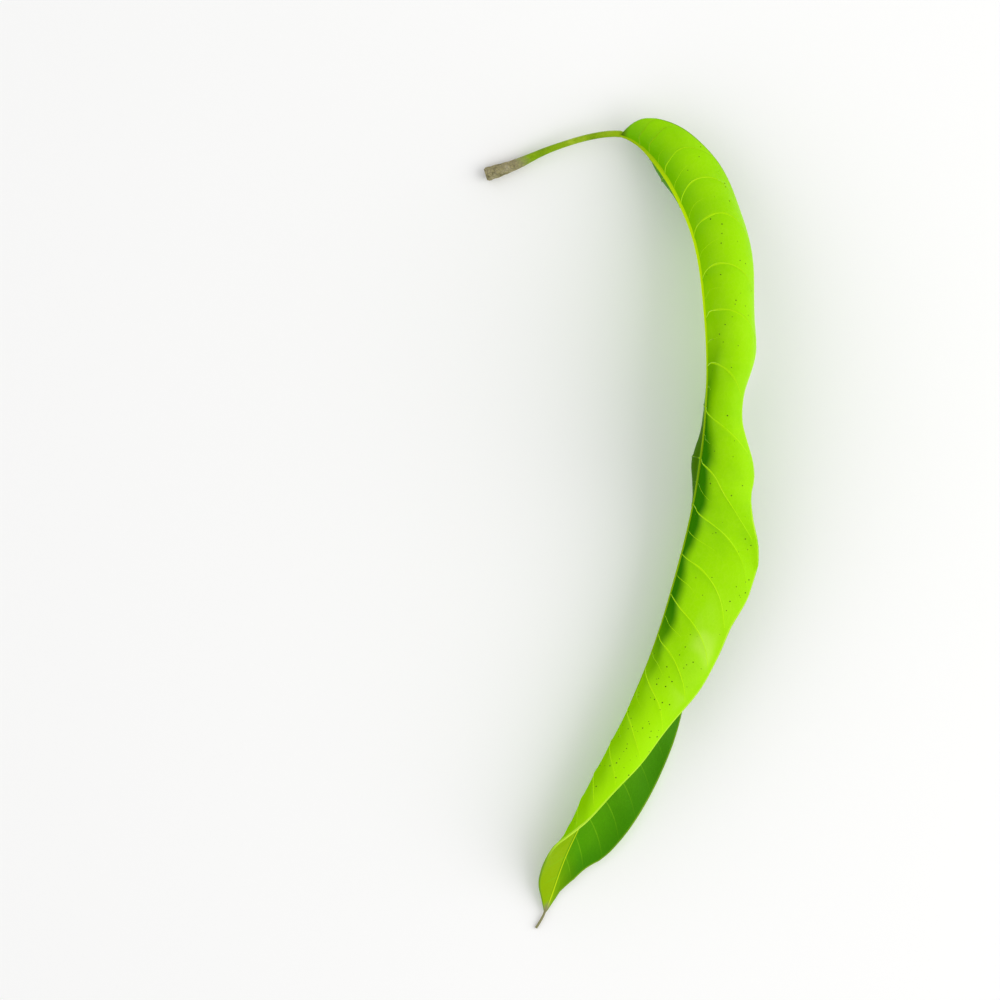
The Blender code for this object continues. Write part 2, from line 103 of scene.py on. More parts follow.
@dataclass(frozen=True)
class LeafSizes:
    """The leaf's form: the middle line, the cross-sections and the veins."""

    stalk_line: Table = (
        (-40.3, 106.1, 1.9), (-30.9, 109.3, 2.2), (-23.2, 112.8, 2.9), (-15.5, 115.6, 3.8),
        (-6.6, 117.8, 5.1),
    )
    midrib_line: Table = (
        (0.9, 117.6, 6.5), (9.9, 111.6, 11.2), (17.3, 100.4, 17.2), (23.1, 86.0, 22.6),
        (26.1, 66.6, 25.4), (27.1, 49.0, 25.6), (26.4, 30.3, 24.2), (23.2, 7.9, 21.4),
        (17.1, -16.7, 18.6), (9.0, -41.8, 15.4), (2.3, -57.8, 12.8), (-10.5, -88.0, 6.6),
        (-16.8, -101.8, 3.9), (-20.3, -111.9, 2.0), (-22.3, -117.1, 1.1),
    )
    tip_line: Table = ((-23.2, -119.0, 0.7), (-25.0, -122.0, 0.34))
    # Share of the blade's length, half width, near half's seen width, its angles at the midrib,
    # past the shoulder and at the margin, far margin's height, far shoulder's bend, far bend.
    sections: Table = (
        (0.000, 0.0, 0.5, 62, 40, 10, 6.0, 10, 20),
        (0.020, 8.4, 7.3, 62, 38, -6, 3.4, 24, 34),
        (0.035, 11.5, 9.9, 63, 35, -20, 2.8, 38, 44),
        (0.050, 13.7, 11.9, 64, 32, -32, 2.4, 52, 50),
        (0.075, 16.3, 13.7, 66, 33, -46, 2.6, 52, 50),
        (0.100, 18.2, 15.1, 68, 34, -58, 3.0, 36, 48),
        (0.160, 20.9, 15.5, 72, 40, -72, 4.6, 18, 46),
        (0.230, 22.9, 14.6, 76, 44, -80, 5.2, 16, 46),
        (0.265, 23.5, 14.3, 78, 48, -80, 5.1, 16, 46),
        (0.300, 24.0, 13.8, 82, 54, -80, 4.8, 16, 46),
        (0.350, 24.4, 10.0, 90, 60, -70, 3.4, 20, 46),
        (0.375, 24.6, 10.5, 90, 56, -62, 2.6, 24, 44),
        (0.400, 24.7, 12.9, 88, 48, -58, 2.4, 34, 43),
        (0.420, 24.8, 14.9, 87, 45, -56, 2.6, 48, 46),
        (0.437, 24.8, 15.8, 86, 42, -54, 2.8, 57, 46),
        (0.455, 24.8, 15.6, 84, 36, -50, 2.0, 46, 46),
        (0.480, 24.7, 17.5, 78, 26, -40, 0.6, 25, 48),
        (0.510, 24.5, 21.2, 72, 16, -26, -0.7, 14, 52),
        (0.540, 24.4, 23.0, 68, 16, -24, -1.3, 12, 56),
        (0.570, 24.1, 22.3, 66, 18, -26, -1.5, 12, 56),
        (0.605, 23.4, 19.8, 66, 20, -30, -1.2, 12, 50),
        (0.640, 22.5, 19.1, 68, 22, -34, -0.8, 14, 44),
        (0.675, 21.4, 17.4, 74, 30, -38, 0.0, 14, 36),
        (0.710, 20.2, 14.6, 84, 40, -42, 0.8, 14, 32),
        (0.745, 19.3, 12.2, 96, 52, -42, 2.0, 12, 24),
        (0.780, 18.2, 9.6, 108, 62, -40, 3.2, 12, 22),
        (0.840, 15.7, 4.0, 124, 90, 0, 4.2, 8, 12),
        (0.885, 13.0, 0.0, 134, 106, 46, 3.8, 6, 10),
        (0.907, 11.2, -2.7, 138, 118, 80, 3.3, 5, 9),
        (0.930, 8.3, -4.5, 142, 132, 116, 2.8, 4, 8),
        (0.952, 6.1, -5.1, 148, 146, 142, 2.2, 4, 4),
        (0.972, 4.3, -3.9, 156, 156, 154, 1.6, 2, 2),
        (0.986, 2.1, -1.9, 158, 158, 158, 1.3, 2, 2),
        (1.000, 0.0, -0.25, 160, 160, 160, 1.1, 2, 2),
    )
    shoulder_share: float = 0.2
    far_straight_share: float = 0.08
    far_width_shares: Row = (0.0, 0.92, 0.952, 0.972, 0.986, 1.0)
    far_width: Row = (1.0, 1.0, 0.74, 0.36, 0.34, 0.34)
    side_veins: Row = (
        0.028, 0.045, 0.078, 0.121, 0.165, 0.216, 0.262, 0.318, 0.367, 0.427, 0.482, 0.542,
        0.591, 0.641, 0.684, 0.729, 0.770, 0.806, 0.840, 0.872, 0.902, 0.930, 0.955, 0.977,
    )
    sweep_shares: Row = (0.0, 0.05, 0.12, 0.20, 0.30, 0.36, 0.43, 0.52, 0.70, 1.0)
    sweep_even: Row = (0.0, -0.22, -0.50, -0.45, -0.25, -0.12, 0.05, 0.24, 0.40, 0.60)
    sweep_curved: Row = (0.0, 0.40, 0.90, 0.80, 0.65, 0.62, 1.0, 0.62, 0.35, 0.20)
    rib_shares: Row = (0.0, 0.05, 0.12, 0.35, 0.60, 0.85, 1.0)
    rib_half_width: Row = (1.00, 0.98, 0.92, 0.62, 0.46, 0.34, 0.30)
    rib_depth: Row = (0.72, 0.72, 0.68, 0.50, 0.40, 0.25, 0.10)
    rib_rise: Row = (0.64, 0.25, 0.16, 0.14, 0.12, 0.10, 0.04)
    stalk_at: Row = (0.0, 0.6, 2.5, 7.0, 12.0, 17.0, 23.0, 33.0, 43.0)
    stalk_radius: Row = (1.70, 1.98, 2.02, 1.74, 1.46, 1.16, 0.98, 0.94, 1.00)
    wrinkle_share: float = 0.05
    wrinkle_pitch: float = 3.0
    wrinkled_length: float = 14.0
    eased_length: float = 12.0
    thickness_at_rib: float = 0.74
    thickness_at_margin: float = 0.66
    quilting: float = 0.12
    pucker: float = 0.06
    margin_wave: float = 0.35
    margin_waves: float = 9.0
    wave_fade: float = 0.08
    straight_limit: float = 0.6
    narrowest: float = 0.05
    swing_limit: float = 0.999


@dataclass(frozen=True)
class VeinSizes:
    """How the side veins rise, taper, wander and fade. Spans are where a ramp starts and ends."""

    main_end: float = 0.93
    main_radius: float = 0.19
    thinning: float = 0.30
    minor_place: float = 0.52
    minor_end: float = 0.45
    minor_radius: float = 0.10
    wander: float = 0.0011
    wander_turns: float = 11.0
    wander_change: float = 60.0
    wander_start: Span = (0.05, 0.3)
    raised: float = 0.20
    flattening: float = 0.5
    raised_end: Span = (0.0, 0.35)
    ridge_width: float = 0.95
    taper: float = 0.65
    start_share: float = 0.3
    start_over: Span = (0.0, 0.05)
    sunk: float = 0.55
    sides: int = 8
    far_tone: float = 0.15
    far_root: Span = (0.0, 0.06)
    bulge_rise: Span = (0.34, 0.40)
    bulge_fall: Span = (0.45, 0.50)
    bulge_width: float = 0.6
    strip_tone: float = 0.6
    strip_fall: Span = (0.08, 0.16)
    stalk_end_tone: float = 0.5
    stalk_end: Span = (0.035, 0.09)
    outer_tone: float = 0.35
    outer_along: Span = (0.25, 0.40)
    outer_across: Span = (0.35, 0.80)


@dataclass(frozen=True)
class Fineness:
    """How finely the meshes follow the form."""

    rows_between_veins: int = 12
    row_crowding: float = 0.10
    columns: int = 44
    column_crowding: float = 1.15
    rib_steps: int = 10
    stalk_rows: int = 70
    tip_rows: int = 8
    path_samples: int = 4000
    vein_points: int = 36


class Curves:
    """Smooth curves through points."""

    @staticmethod
    def smooth(knots: Any, values: Any, at: Array) -> Array:
        """A cubic curve with three-point slopes.

        Args:
            knots: Rising places of the points.
            values: The value at each of them.
            at: Where the curve is read.

        Returns:
            The curve's value at each place.
        """
        x = np.asarray(knots, float)
        y = np.asarray(values, float)
        step = np.diff(x)
        rise = np.diff(y) / step
        slope = np.empty_like(y)
        slope[1:-1] = (rise[:-1] * step[1:] + rise[1:] * step[:-1]) / (step[1:] + step[:-1])
        slope[0] = 1.5 * rise[0] - 0.5 * slope[1]
        slope[-1] = 1.5 * rise[-1] - 0.5 * slope[-2]
        i = np.clip(np.searchsorted(x, at) - 1, 0, len(x) - 2)
        h = x[i + 1] - x[i]
        t = (at - x[i]) / h
        back = 1 - t
        start = (1 + 2 * t) * back ** 2 * y[i] + t * back ** 2 * h * slope[i]
        end = t ** 2 * (3 - 2 * t) * y[i + 1] - t ** 2 * back * h * slope[i + 1]
        return start + end

    @staticmethod
    def ramp(value: Array, low: float, high: float) -> Array:
        """A smooth step from 0 to 1.

        Args:
            value: What is tested.
            low: Where the step starts.
            high: Where it ends.

        Returns:
            0 below low, 1 above high and a smooth rise between them.
        """
        t = np.clip((value - low) / (high - low), 0, 1)
        return t * t * (3 - 2 * t)


class MiddleLine:
    """The natural cubic spline through stalk, midrib and drip tip, by true distance."""

    def __init__(self, sizes: LeafSizes, samples: int) -> None:
        """Solves the spline.

        Args:
            sizes: The leaf's form.
            samples: How many points the curve is kept as.
        """
        points = np.array(sizes.stalk_line + sizes.midrib_line + sizes.tip_line)
        chord = np.concatenate([[0], np.cumsum(np.linalg.norm(np.diff(points, axis=0), axis=1))])
        count = len(points)
        step = np.diff(chord)
        rise = np.diff(points, axis=0) / step[:, None]
        matrix = np.eye(count)
        right = np.zeros((count, 3))
        for i in range(1, count - 1):
            matrix[i, i - 1:i + 2] = step[i - 1], 2 * (step[i - 1] + step[i]), step[i]
            right[i] = 6 * (rise[i] - rise[i - 1])
        bend = np.linalg.solve(matrix, right)
        at = np.linspace(0, chord[-1], samples)
        i = np.clip(np.searchsorted(chord, at) - 1, 0, count - 2)
        h = step[i][:, None]
        b = (at - chord[i])[:, None] / h
        a = 1 - b
        curve = a * points[i] + b * points[i + 1]
        curve = curve + ((a ** 3 - a) * bend[i] + (b ** 3 - b) * bend[i + 1]) * h ** 2 / 6
        self.curve = curve
        self.far = np.concatenate([[0], np.cumsum(np.linalg.norm(np.diff(curve, axis=0), axis=1))])
        first = len(sizes.stalk_line)
        last = first + len(sizes.midrib_line) - 1
        self.blade_start = float(np.interp(chord[first], at, self.far))
        self.blade_end = float(np.interp(chord[last], at, self.far))
        self.end = float(self.far[-1])
        self.blade_length = self.blade_end - self.blade_start

    def point(self, distance: Array) -> Array:
        """Points of the line.

        Args:
            distance: Distances from the stalk's foot.

        Returns:
            The points, one for each distance.
        """
        return np.stack([np.interp(distance, self.far, self.curve[:, k]) for k in range(3)], -1)

    def frame(self, distance: Array, reach: float = 0.5) -> tuple[Array, Array, Array]:
        """Points with their directions.

        Args:
            distance: Distances from the stalk's foot.
            reach: How far ahead and behind the direction is read.

        Returns:
            The points, the level direction to the right, and the one that rises.
        """
        ahead = self.point(np.clip(distance + reach, 0, self.end))
        behind = self.point(np.clip(distance - reach, 0, self.end))
        along = ahead - behind
        along /= np.linalg.norm(along, axis=-1, keepdims=True)
        right = np.stack([-along[..., 1], along[..., 0], 0 * along[..., 0]], -1)
        right /= np.linalg.norm(right, axis=-1, keepdims=True)
        return self.point(distance), right, np.cross(along, right)


class BladeForm:
    """The curled blade as a surface: every point from a row and a share of the half width."""

    def __init__(self, sizes: LeafSizes, line: MiddleLine) -> None:
        """Keeps the sizes.

        Args:
            sizes: The leaf's form.
            line: Its middle line.
        """
        self.sizes = sizes
        self.line = line
        self.table = np.array(sizes.sections)

    def column(self, share: Array, index: int) -> Array:
        """One column of the cross-section table.

        Args:
            share: Shares of the blade's length.
            index: The column.

        Returns:
            Its smooth value at each share.
        """
        return Curves.smooth(self.table[:, 0], self.table[:, index], share)

    def half_width(self, share: Array, half: Half = Half.NEAR) -> Array:
        """Width of one half, flattened out.

        Args:
            share: Shares of the blade's length.
            half: Which half.

        Returns:
            The width at each share.
        """
        narrowed = np.interp(share, self.sizes.far_width_shares, self.sizes.far_width)
        return np.maximum(self.column(share, 1), 0.0) * (1.0 if half is Half.NEAR else narrowed)

    def rib(self, share: Array) -> Array:
        """Half width of the midrib.

        Args:
            share: Shares of the blade's length.

        Returns:
            The half width at each share.
        """
        return Curves.smooth(self.sizes.rib_shares, self.sizes.rib_half_width, share)

    @staticmethod
    def mean_cosine(start: Array, end: Array) -> Array:
        """The mean cosine over an even turn.

        Args:
            start: Angle where the turn starts.
            end: Angle where it ends.

        Returns:
            The mean.
        """
        turn = np.where(np.abs(end - start) < 1e-4, 1e-4, end - start)
        return (np.sin(start + turn) - np.sin(start)) / turn

    @staticmethod
    def bent(y: Array, stretches: tuple[Array, ...],
             angles: tuple[Array, ...]) -> tuple[Array, Array, Array]:
        """Follows a straight stretch and then two arcs.

        Args:
            y: Distances along the section.
            stretches: Length of the straight stretch and of both arcs.
            angles: Heading on the stretch and at the end of each arc.

        Returns:
            Offset across, offset up and heading at each distance.
        """
        edges = np.cumsum(np.stack(np.broadcast_arrays(*stretches)), axis=0)
        x = 0 * y
        z = 0 * y
        heading = angles[0] + 0 * y
        for k, stretch in enumerate(stretches):
            start = edges[k] - stretch
            part = np.clip(y - start, 0, stretch if k < 2 else None)
            turn = (angles[k] - angles[k - 1]) * part / np.maximum(stretch, 1e-6) if k else 0 * part
            before = angles[max(k - 1, 0)]
            reach = part * np.sinc(turn / (2 * np.pi))
            x = x + reach * np.cos(before + turn / 2)
            z = z + reach * np.sin(before + turn / 2)
            heading = np.where(part > 0, before + turn, heading)
        return x, z, heading

    def near_half(self, share: Array, y: Array) -> tuple[Array, Array, Array]:
        """Cross-section of the near half, straight for as long as its seen width asks for.

        Args:
            share: Shares of the blade's length.
            y: Distances from the midrib's edge.

        Returns:
            Offset across, offset up and heading.
        """
        rib = self.rib(share)
        bow = self.sizes.shoulder_share
        width = np.maximum(self.half_width(share), self.sizes.narrowest)
        root, shoulder, margin = (np.radians(self.column(share, k)) for k in (3, 4, 5))
        outer = self.mean_cosine(shoulder, margin)
        seen = (self.column(share, 2) - rib * np.cos(root)) / width
        excess = bow * self.mean_cosine(root, shoulder) + (1 - bow) * outer - seen
        drop = outer - np.cos(root)
        straight = excess / np.where(np.abs(drop) < 1e-3, 1e-3, drop)
        straight = np.clip(straight, 0.0, self.sizes.straight_limit)
        stretches = (rib + straight * width, bow * width, (1 - bow - straight) * width)
        return self.bent(y + rib, stretches, (root, shoulder, margin))

    def far_half(self, share: Array, y: Array, height: Array, lift: Array) -> tuple[Array, Array, Array]:
        """Cross-section of the far half, swung until its margin is at its height.

        Args:
            share: Shares of the blade's length.
            y: Distances from the midrib's edge.
            height: The midrib's height.
            lift: How much of the section's rise is upright.

        Returns:
            Offset across, offset up and heading.
        """
        rib = self.rib(share)
        bow = self.sizes.shoulder_share
        flat = self.sizes.far_straight_share
        width = np.maximum(self.half_width(share, Half.FAR), self.sizes.narrowest)
        shoulder = np.radians(self.column(share, 7))
        margin = shoulder + np.radians(self.column(share, 8))
        stretches = (rib + flat * width, bow * width, (1 - bow - flat) * width)
        x, z, _ = self.bent(rib + width, stretches, (0 * width, shoulder, margin))
        fall = (self.column(share, 6) - height) / lift / np.hypot(x, z)
        limit = self.sizes.swing_limit
        swing = np.arcsin(np.clip(fall, -limit, limit)) - np.arctan2(z, x)
        return self.bent(y + rib, stretches, (swing, swing + shoulder, swing + margin))

    def phase(self, row: Array) -> Array:
        """Where rows lie between side veins.

        Args:
            row: Shares of the blade's length at the midrib.

        Returns:
            The phase from one vein to the next.
        """
        veins = np.array((0.0,) + self.sizes.side_veins + (1.0,))
        i = np.clip(np.searchsorted(veins, row, side="right") - 1, 0, len(veins) - 2)
        return (row - veins[i]) / (veins[i + 1] - veins[i])

    def vein_gap(self, row: Array) -> Array:
        """How far rows lie from the nearest side vein.

        Args:
            row: Shares of the blade's length at the midrib.

        Returns:
            The distances.
        """
        veins = np.array(self.sizes.side_veins)
        return np.min(np.abs(row[:, None] - veins), axis=1) * self.line.blade_length

    def wave(self, row: Array, u: Array, half: Half) -> Array:
        """How far the blade bows off its section between veins and along its margin.

        Args:
            row: Shares of the blade's length at the midrib.
            u: Shares of the half width.
            half: Which half.

        Returns:
            The offset towards the upper face.
        """
        ends = np.clip(np.minimum(row, 1 - row) / self.sizes.wave_fade, 0, 1)
        bow = np.sin(np.pi * self.phase(row)) * np.sin(np.pi * np.clip(u, 0, 1))
        ripple = np.sin(2 * np.pi * self.sizes.margin_waves * row + half.value) * u ** 2
        return (self.sizes.quilting * bow + self.sizes.margin_wave * ripple) * ends

    def thickness(self, u: Array) -> Array:
        """Thickness of the blade.

        Args:
            u: Shares of the half width.

        Returns:
            The thickness at each share.
        """
        s = self.sizes
        return s.thickness_at_rib + (s.thickness_at_margin - s.thickness_at_rib) * u

    def lamina(self, row: Array, u: Array, half: Half) -> tuple[Array, Array]:
        """The middle surface of one half, with rows that follow the side veins.

        Args:
            row: Shares of the blade's length at the midrib.
            u: Shares of the half width.
            half: Which half.

        Returns:
            The points and the direction that the upper face looks in.
        """
        even = np.interp(row, self.sizes.sweep_shares, self.sizes.sweep_even)
        curved = np.interp(row, self.sizes.sweep_shares, self.sizes.sweep_curved)
        reach = self.half_width(row) / self.line.blade_length
        share = np.clip(row + reach * (even * u + curved * u ** 3), 0, 1)
        y = u * self.half_width(np.clip(row + reach * (even + curved), 0, 1), half)
        centre, right, up = self.line.frame(self.line.blade_start + share * self.line.blade_length)
        if half is Half.NEAR:
            x, z, heading = self.near_half(share, y)
            facing = right * np.sin(heading)[..., None] - up * np.cos(heading)[..., None]
        else:
            x, z, heading = self.far_half(share, y, centre[..., 2], up[..., 2])
            facing = up * np.cos(heading)[..., None] - right * np.sin(heading)[..., None]
        place = centre + right * x[..., None] + up * z[..., None]
        place = place + facing * self.wave(row, u, half)[..., None]
        least = self.thickness(u) / 2
        pressed = place[..., 2] <= least
        place[..., 2] = np.maximum(place[..., 2], least)
        facing[pressed] = (0.0, 0.0, 1.0)
        return place, facing

    def rib_directions(self, share: float) -> tuple[Array, Array, Array]:
        """How the midrib lies.

        Args:
            share: Share of the blade's length.

        Returns:
            The directions to its near and far edges, and the one away from the trough.
        """
        centre, right, up = self.line.frame(
            np.array(self.line.blade_start + share * self.line.blade_length))
        one = np.array([share])
        near = self.near_half(one, np.zeros(1))[2][0]
        far = self.far_half(one, np.zeros(1), centre[2], up[2])[2][0]
        first = right * np.cos(near) + up * np.sin(near)
        last = right * np.cos(far) + up * np.sin(far)
        inward = (right * np.sin(near) - up * np.cos(near)) + (up * np.cos(far) - right * np.sin(far))
        return first, last, -inward / np.linalg.norm(inward)


class Graph:
    """Adds nodes to a tree and links them by socket name."""

    def __init__(self, tree: Any) -> None:
        """Keeps the tree.

        Args:
            tree: A node tree of any kind.
        """
        self.tree = tree

    def add(self, kind: str, feeds: dict[Any, Any] | None = None, **settings: Any) -> Any:
        """Adds one node.

        Args:
            kind: The node's type name.
            feeds: What goes into its sockets: another socket or a value, by name or number.
            **settings: The node's own properties.

        Returns:
            The node.
        """
        node = self.tree.nodes.new(kind)
        for name, value in settings.items():
            setattr(node, name, value)
        for name, value in (feeds or {}).items():
            if isinstance(name, int):
                socket = node.inputs[name]
            else:
                socket = next(s for s in node.inputs if s.name == name and s.enabled)
            if isinstance(value, bpy.types.NodeSocket):
                self.tree.links.new(value, socket)
            else:
                socket.default_value = value
        return node

    def out(self, kind: str, feeds: dict[Any, Any] | None = None, **settings: Any) -> Any:
        """Adds one node and gives its first enabled output.

        Args:
            kind: The node's type name.
            feeds: What goes into its sockets.
            **settings: The node's own properties.

        Returns:
            The output socket.
        """
        node = self.add(kind, feeds, **settings)
        return next(s for s in node.outputs if s.enabled)

    def math(self, operation: str, first: Any, second: Any = 0.0) -> Any:
        """Arithmetic on one or two values.

        Args:
            operation: The operation's name.
            first: The first socket or number.
            second: The second socket or number.

        Returns:
            The output socket.
        """
        return self.out("ShaderNodeMath", {0: first, 1: second}, operation=operation)

    def span(self, value: Any, low: float, high: float, start: float = 0.0, end: float = 1.0) -> Any:
        """Maps a range smoothly onto another.

        Args:
            value: The socket that is mapped.
            low: Where the range starts.
            high: Where it ends.
            start: What its start becomes.
            end: What its end becomes.

        Returns:
            The output socket.
        """
        feeds = {"Value": value, "From Min": low, "From Max": high, "To Min": start, "To Max": end}
        return self.out("ShaderNodeMapRange", feeds, interpolation_type="SMOOTHSTEP")

    def mix(self, share: Any, first: Any, second: Any) -> Any:
        """Mixes two colours.

        Args:
            share: How much of the second there is.
            first: The first colour or socket.
            second: The second colour or socket.

        Returns:
            The output socket.
        """
        node = self.add("ShaderNodeMix", {0: share, 6: first, 7: second}, data_type="RGBA")
        return node.outputs[2]

    def product(self, *values: Any) -> Any:
        """Multiplies several values.

        Args:
            *values: Sockets or numbers, a socket first.

        Returns:
            The output socket.
        """
        made = values[0]
        for value in values[1:]:
            made = self.math("MULTIPLY", made, value)
        return made

    def window(self, value: Any, spans: Spans) -> Any:
        """Masks what lies between two spans of one value.

        Args:
            value: The socket that is mapped.
            spans: Where the mask rises, and where it falls again.

        Returns:
            The output socket.
        """
        return self.product(*(self.span(value, *span) for span in spans))

    def noise(self, where: Any, scale: Any, detail: float, roughness: float = 0.5) -> Any:
        """Adds soft noise.

        Args:
            where: The place that it depends on.
            scale: Its scale.
            detail: How many finer layers it has.
            roughness: How strong they are.

        Returns:
            The output socket.
        """
        return self.out("ShaderNodeTexNoise", {"Vector": where, "Scale": scale, "Detail": detail,
                                               "Roughness": roughness})

    def paint(self, base: Any, layers: tuple[tuple[Any, Color], ...]) -> Any:
        """Lays colours over each other.

        Args:
            base: The lowest colour.
            layers: For each layer, its mask and its colour.

        Returns:
            The output socket.
        """
        for mask, color in layers:
            base = self.mix(mask, base, solid(color))
        return base

    def field(self, name: str) -> Any:
        """Reads a value that the mesh carries.

        Args:
            name: The attribute's name.

        Returns:
            The output socket.
        """
        if self.tree.bl_idname == "GeometryNodeTree":
            node = self.add("GeometryNodeInputNamedAttribute", {"Name": name}, data_type="FLOAT")
            return next(s for s in node.outputs if s.enabled)
        return self.add("ShaderNodeAttribute", attribute_name=name).outputs["Fac"]


def solid(color: Color) -> tuple[float, float, float, float]:
    """A colour with full cover.

    Args:
        color: Red, green and blue, linear.

    Returns:
        The same with alpha 1.
    """
    return (*color, 1.0)


class TissueGroup:
    """The shader group that leaf tissue shares: mottling, fine net of veins and its relief."""

    NAME = "leaf_tissue"
    INPUTS = (
        ("Color", "NodeSocketColor", (0.3, 0.6, 0.01, 1.0)),
        ("Dark Color", "NodeSocketColor", (0.2, 0.4, 0.01, 1.0)),
        ("Pale Color", "NodeSocketColor", (0.5, 0.8, 0.1, 1.0)),
        ("Patch Scale", "NodeSocketFloat", 60.0),
        ("Net Scale", "NodeSocketFloat", 700.0),
        ("Net Strength", "NodeSocketFloat", 0.2),
        ("Patch Strength", "NodeSocketFloat", 0.3),
    )
    OUTPUTS = (("Color", "NodeSocketColor"), ("Height", "NodeSocketFloat"),
               ("Patches", "NodeSocketFloat"))
    PALE_PATCHES: Span = (0.50, 0.72)
    DARK_PATCHES: Span = (0.48, 0.30)
    NET_LINE: Span = (0.12, 0.0)
    GRAIN_SCALE = 2600.0
    NET_HEIGHT = 0.7
    GRAIN_HEIGHT = 0.3

    def tree(self) -> Any:
        """Builds the group once.

        Returns:
            The node group.
        """
        if self.NAME in bpy.data.node_groups:
            return bpy.data.node_groups[self.NAME]
        tree = bpy.data.node_groups.new(self.NAME, "ShaderNodeTree")
        for name, kind, value in self.INPUTS:
            tree.interface.new_socket(name, in_out="INPUT", socket_type=kind).default_value = value
        for name, kind in self.OUTPUTS:
            tree.interface.new_socket(name, in_out="OUTPUT", socket_type=kind)
        g = Graph(tree)
        given = g.add("NodeGroupInput").outputs
        where = g.add("ShaderNodeTexCoord").outputs["Object"]
        patches = g.noise(where, given["Patch Scale"], 4.0, 0.55)
        cells = g.add("ShaderNodeTexVoronoi", {"Vector": where, "Scale": given["Net Scale"]},
                      feature="DISTANCE_TO_EDGE")
        net = g.span(cells.outputs["Distance"], *self.NET_LINE)
        tone = g.mix(g.product(g.span(patches, *self.DARK_PATCHES), given["Patch Strength"]),
                     given["Color"], given["Dark Color"])
        tone = g.mix(g.product(g.span(patches, *self.PALE_PATCHES), given["Patch Strength"]),
                     tone, given["Pale Color"])
        tone = g.mix(g.product(net, given["Net Strength"]), tone, given["Pale Color"])
        height = g.math("ADD", g.product(net, self.NET_HEIGHT),
                        g.product(g.noise(where, self.GRAIN_SCALE, 2.0), self.GRAIN_HEIGHT))
        g.add("NodeGroupOutput", {"Color": tone, "Height": height, "Patches": patches})
        return tree


class Finish:
    """Base of the finishes: a named Principled material with a faint waxy shine."""

    name: str = "finish"
    shine: float = 0.12
    shine_tint: Color = (0.80, 1.00, 0.30)

    def start(self) -> tuple[Any, Graph, Any]:
        """Makes the empty material.

        Returns:
            The material, its graph and its Principled node.
        """
        material = bpy.data.materials.new(self.name)
        material.use_nodes = True
        shader = material.node_tree.nodes["Principled BSDF"]
        shader.inputs["Specular IOR Level"].default_value = self.shine
        shader.inputs["Specular Tint"].default_value = solid(self.shine_tint)
        return material, Graph(material.node_tree), shader

    def tissue(self, g: Graph, **values: Any) -> Any:
        """Adds the shared tissue group.

        Args:
            g: The material's graph.
            **values: Input values by name, with _ for a space.

        Returns:
            The group's node.
        """
        node = g.add("ShaderNodeGroup", node_tree=TissueGroup().tree())
        for name, value in values.items():
            socket = node.inputs[name.replace("_", " ").title()]
            if isinstance(value, bpy.types.NodeSocket):
                g.tree.links.new(value, socket)
            else:
                socket.default_value = value
        return node

    def bump(self, g: Graph, shader: Any, height: Any, strength: float, depth: float) -> None:
        """Adds fine relief.

        Args:
            g: The material's graph.
            shader: The Principled node.
            height: The relief's height.
            strength: How strong it is.
            depth: Its depth in metres.
        """
        normal = g.out("ShaderNodeBump", {"Strength": strength, "Distance": depth, "Height": height})
        g.tree.links.new(normal, shader.inputs["Normal"])


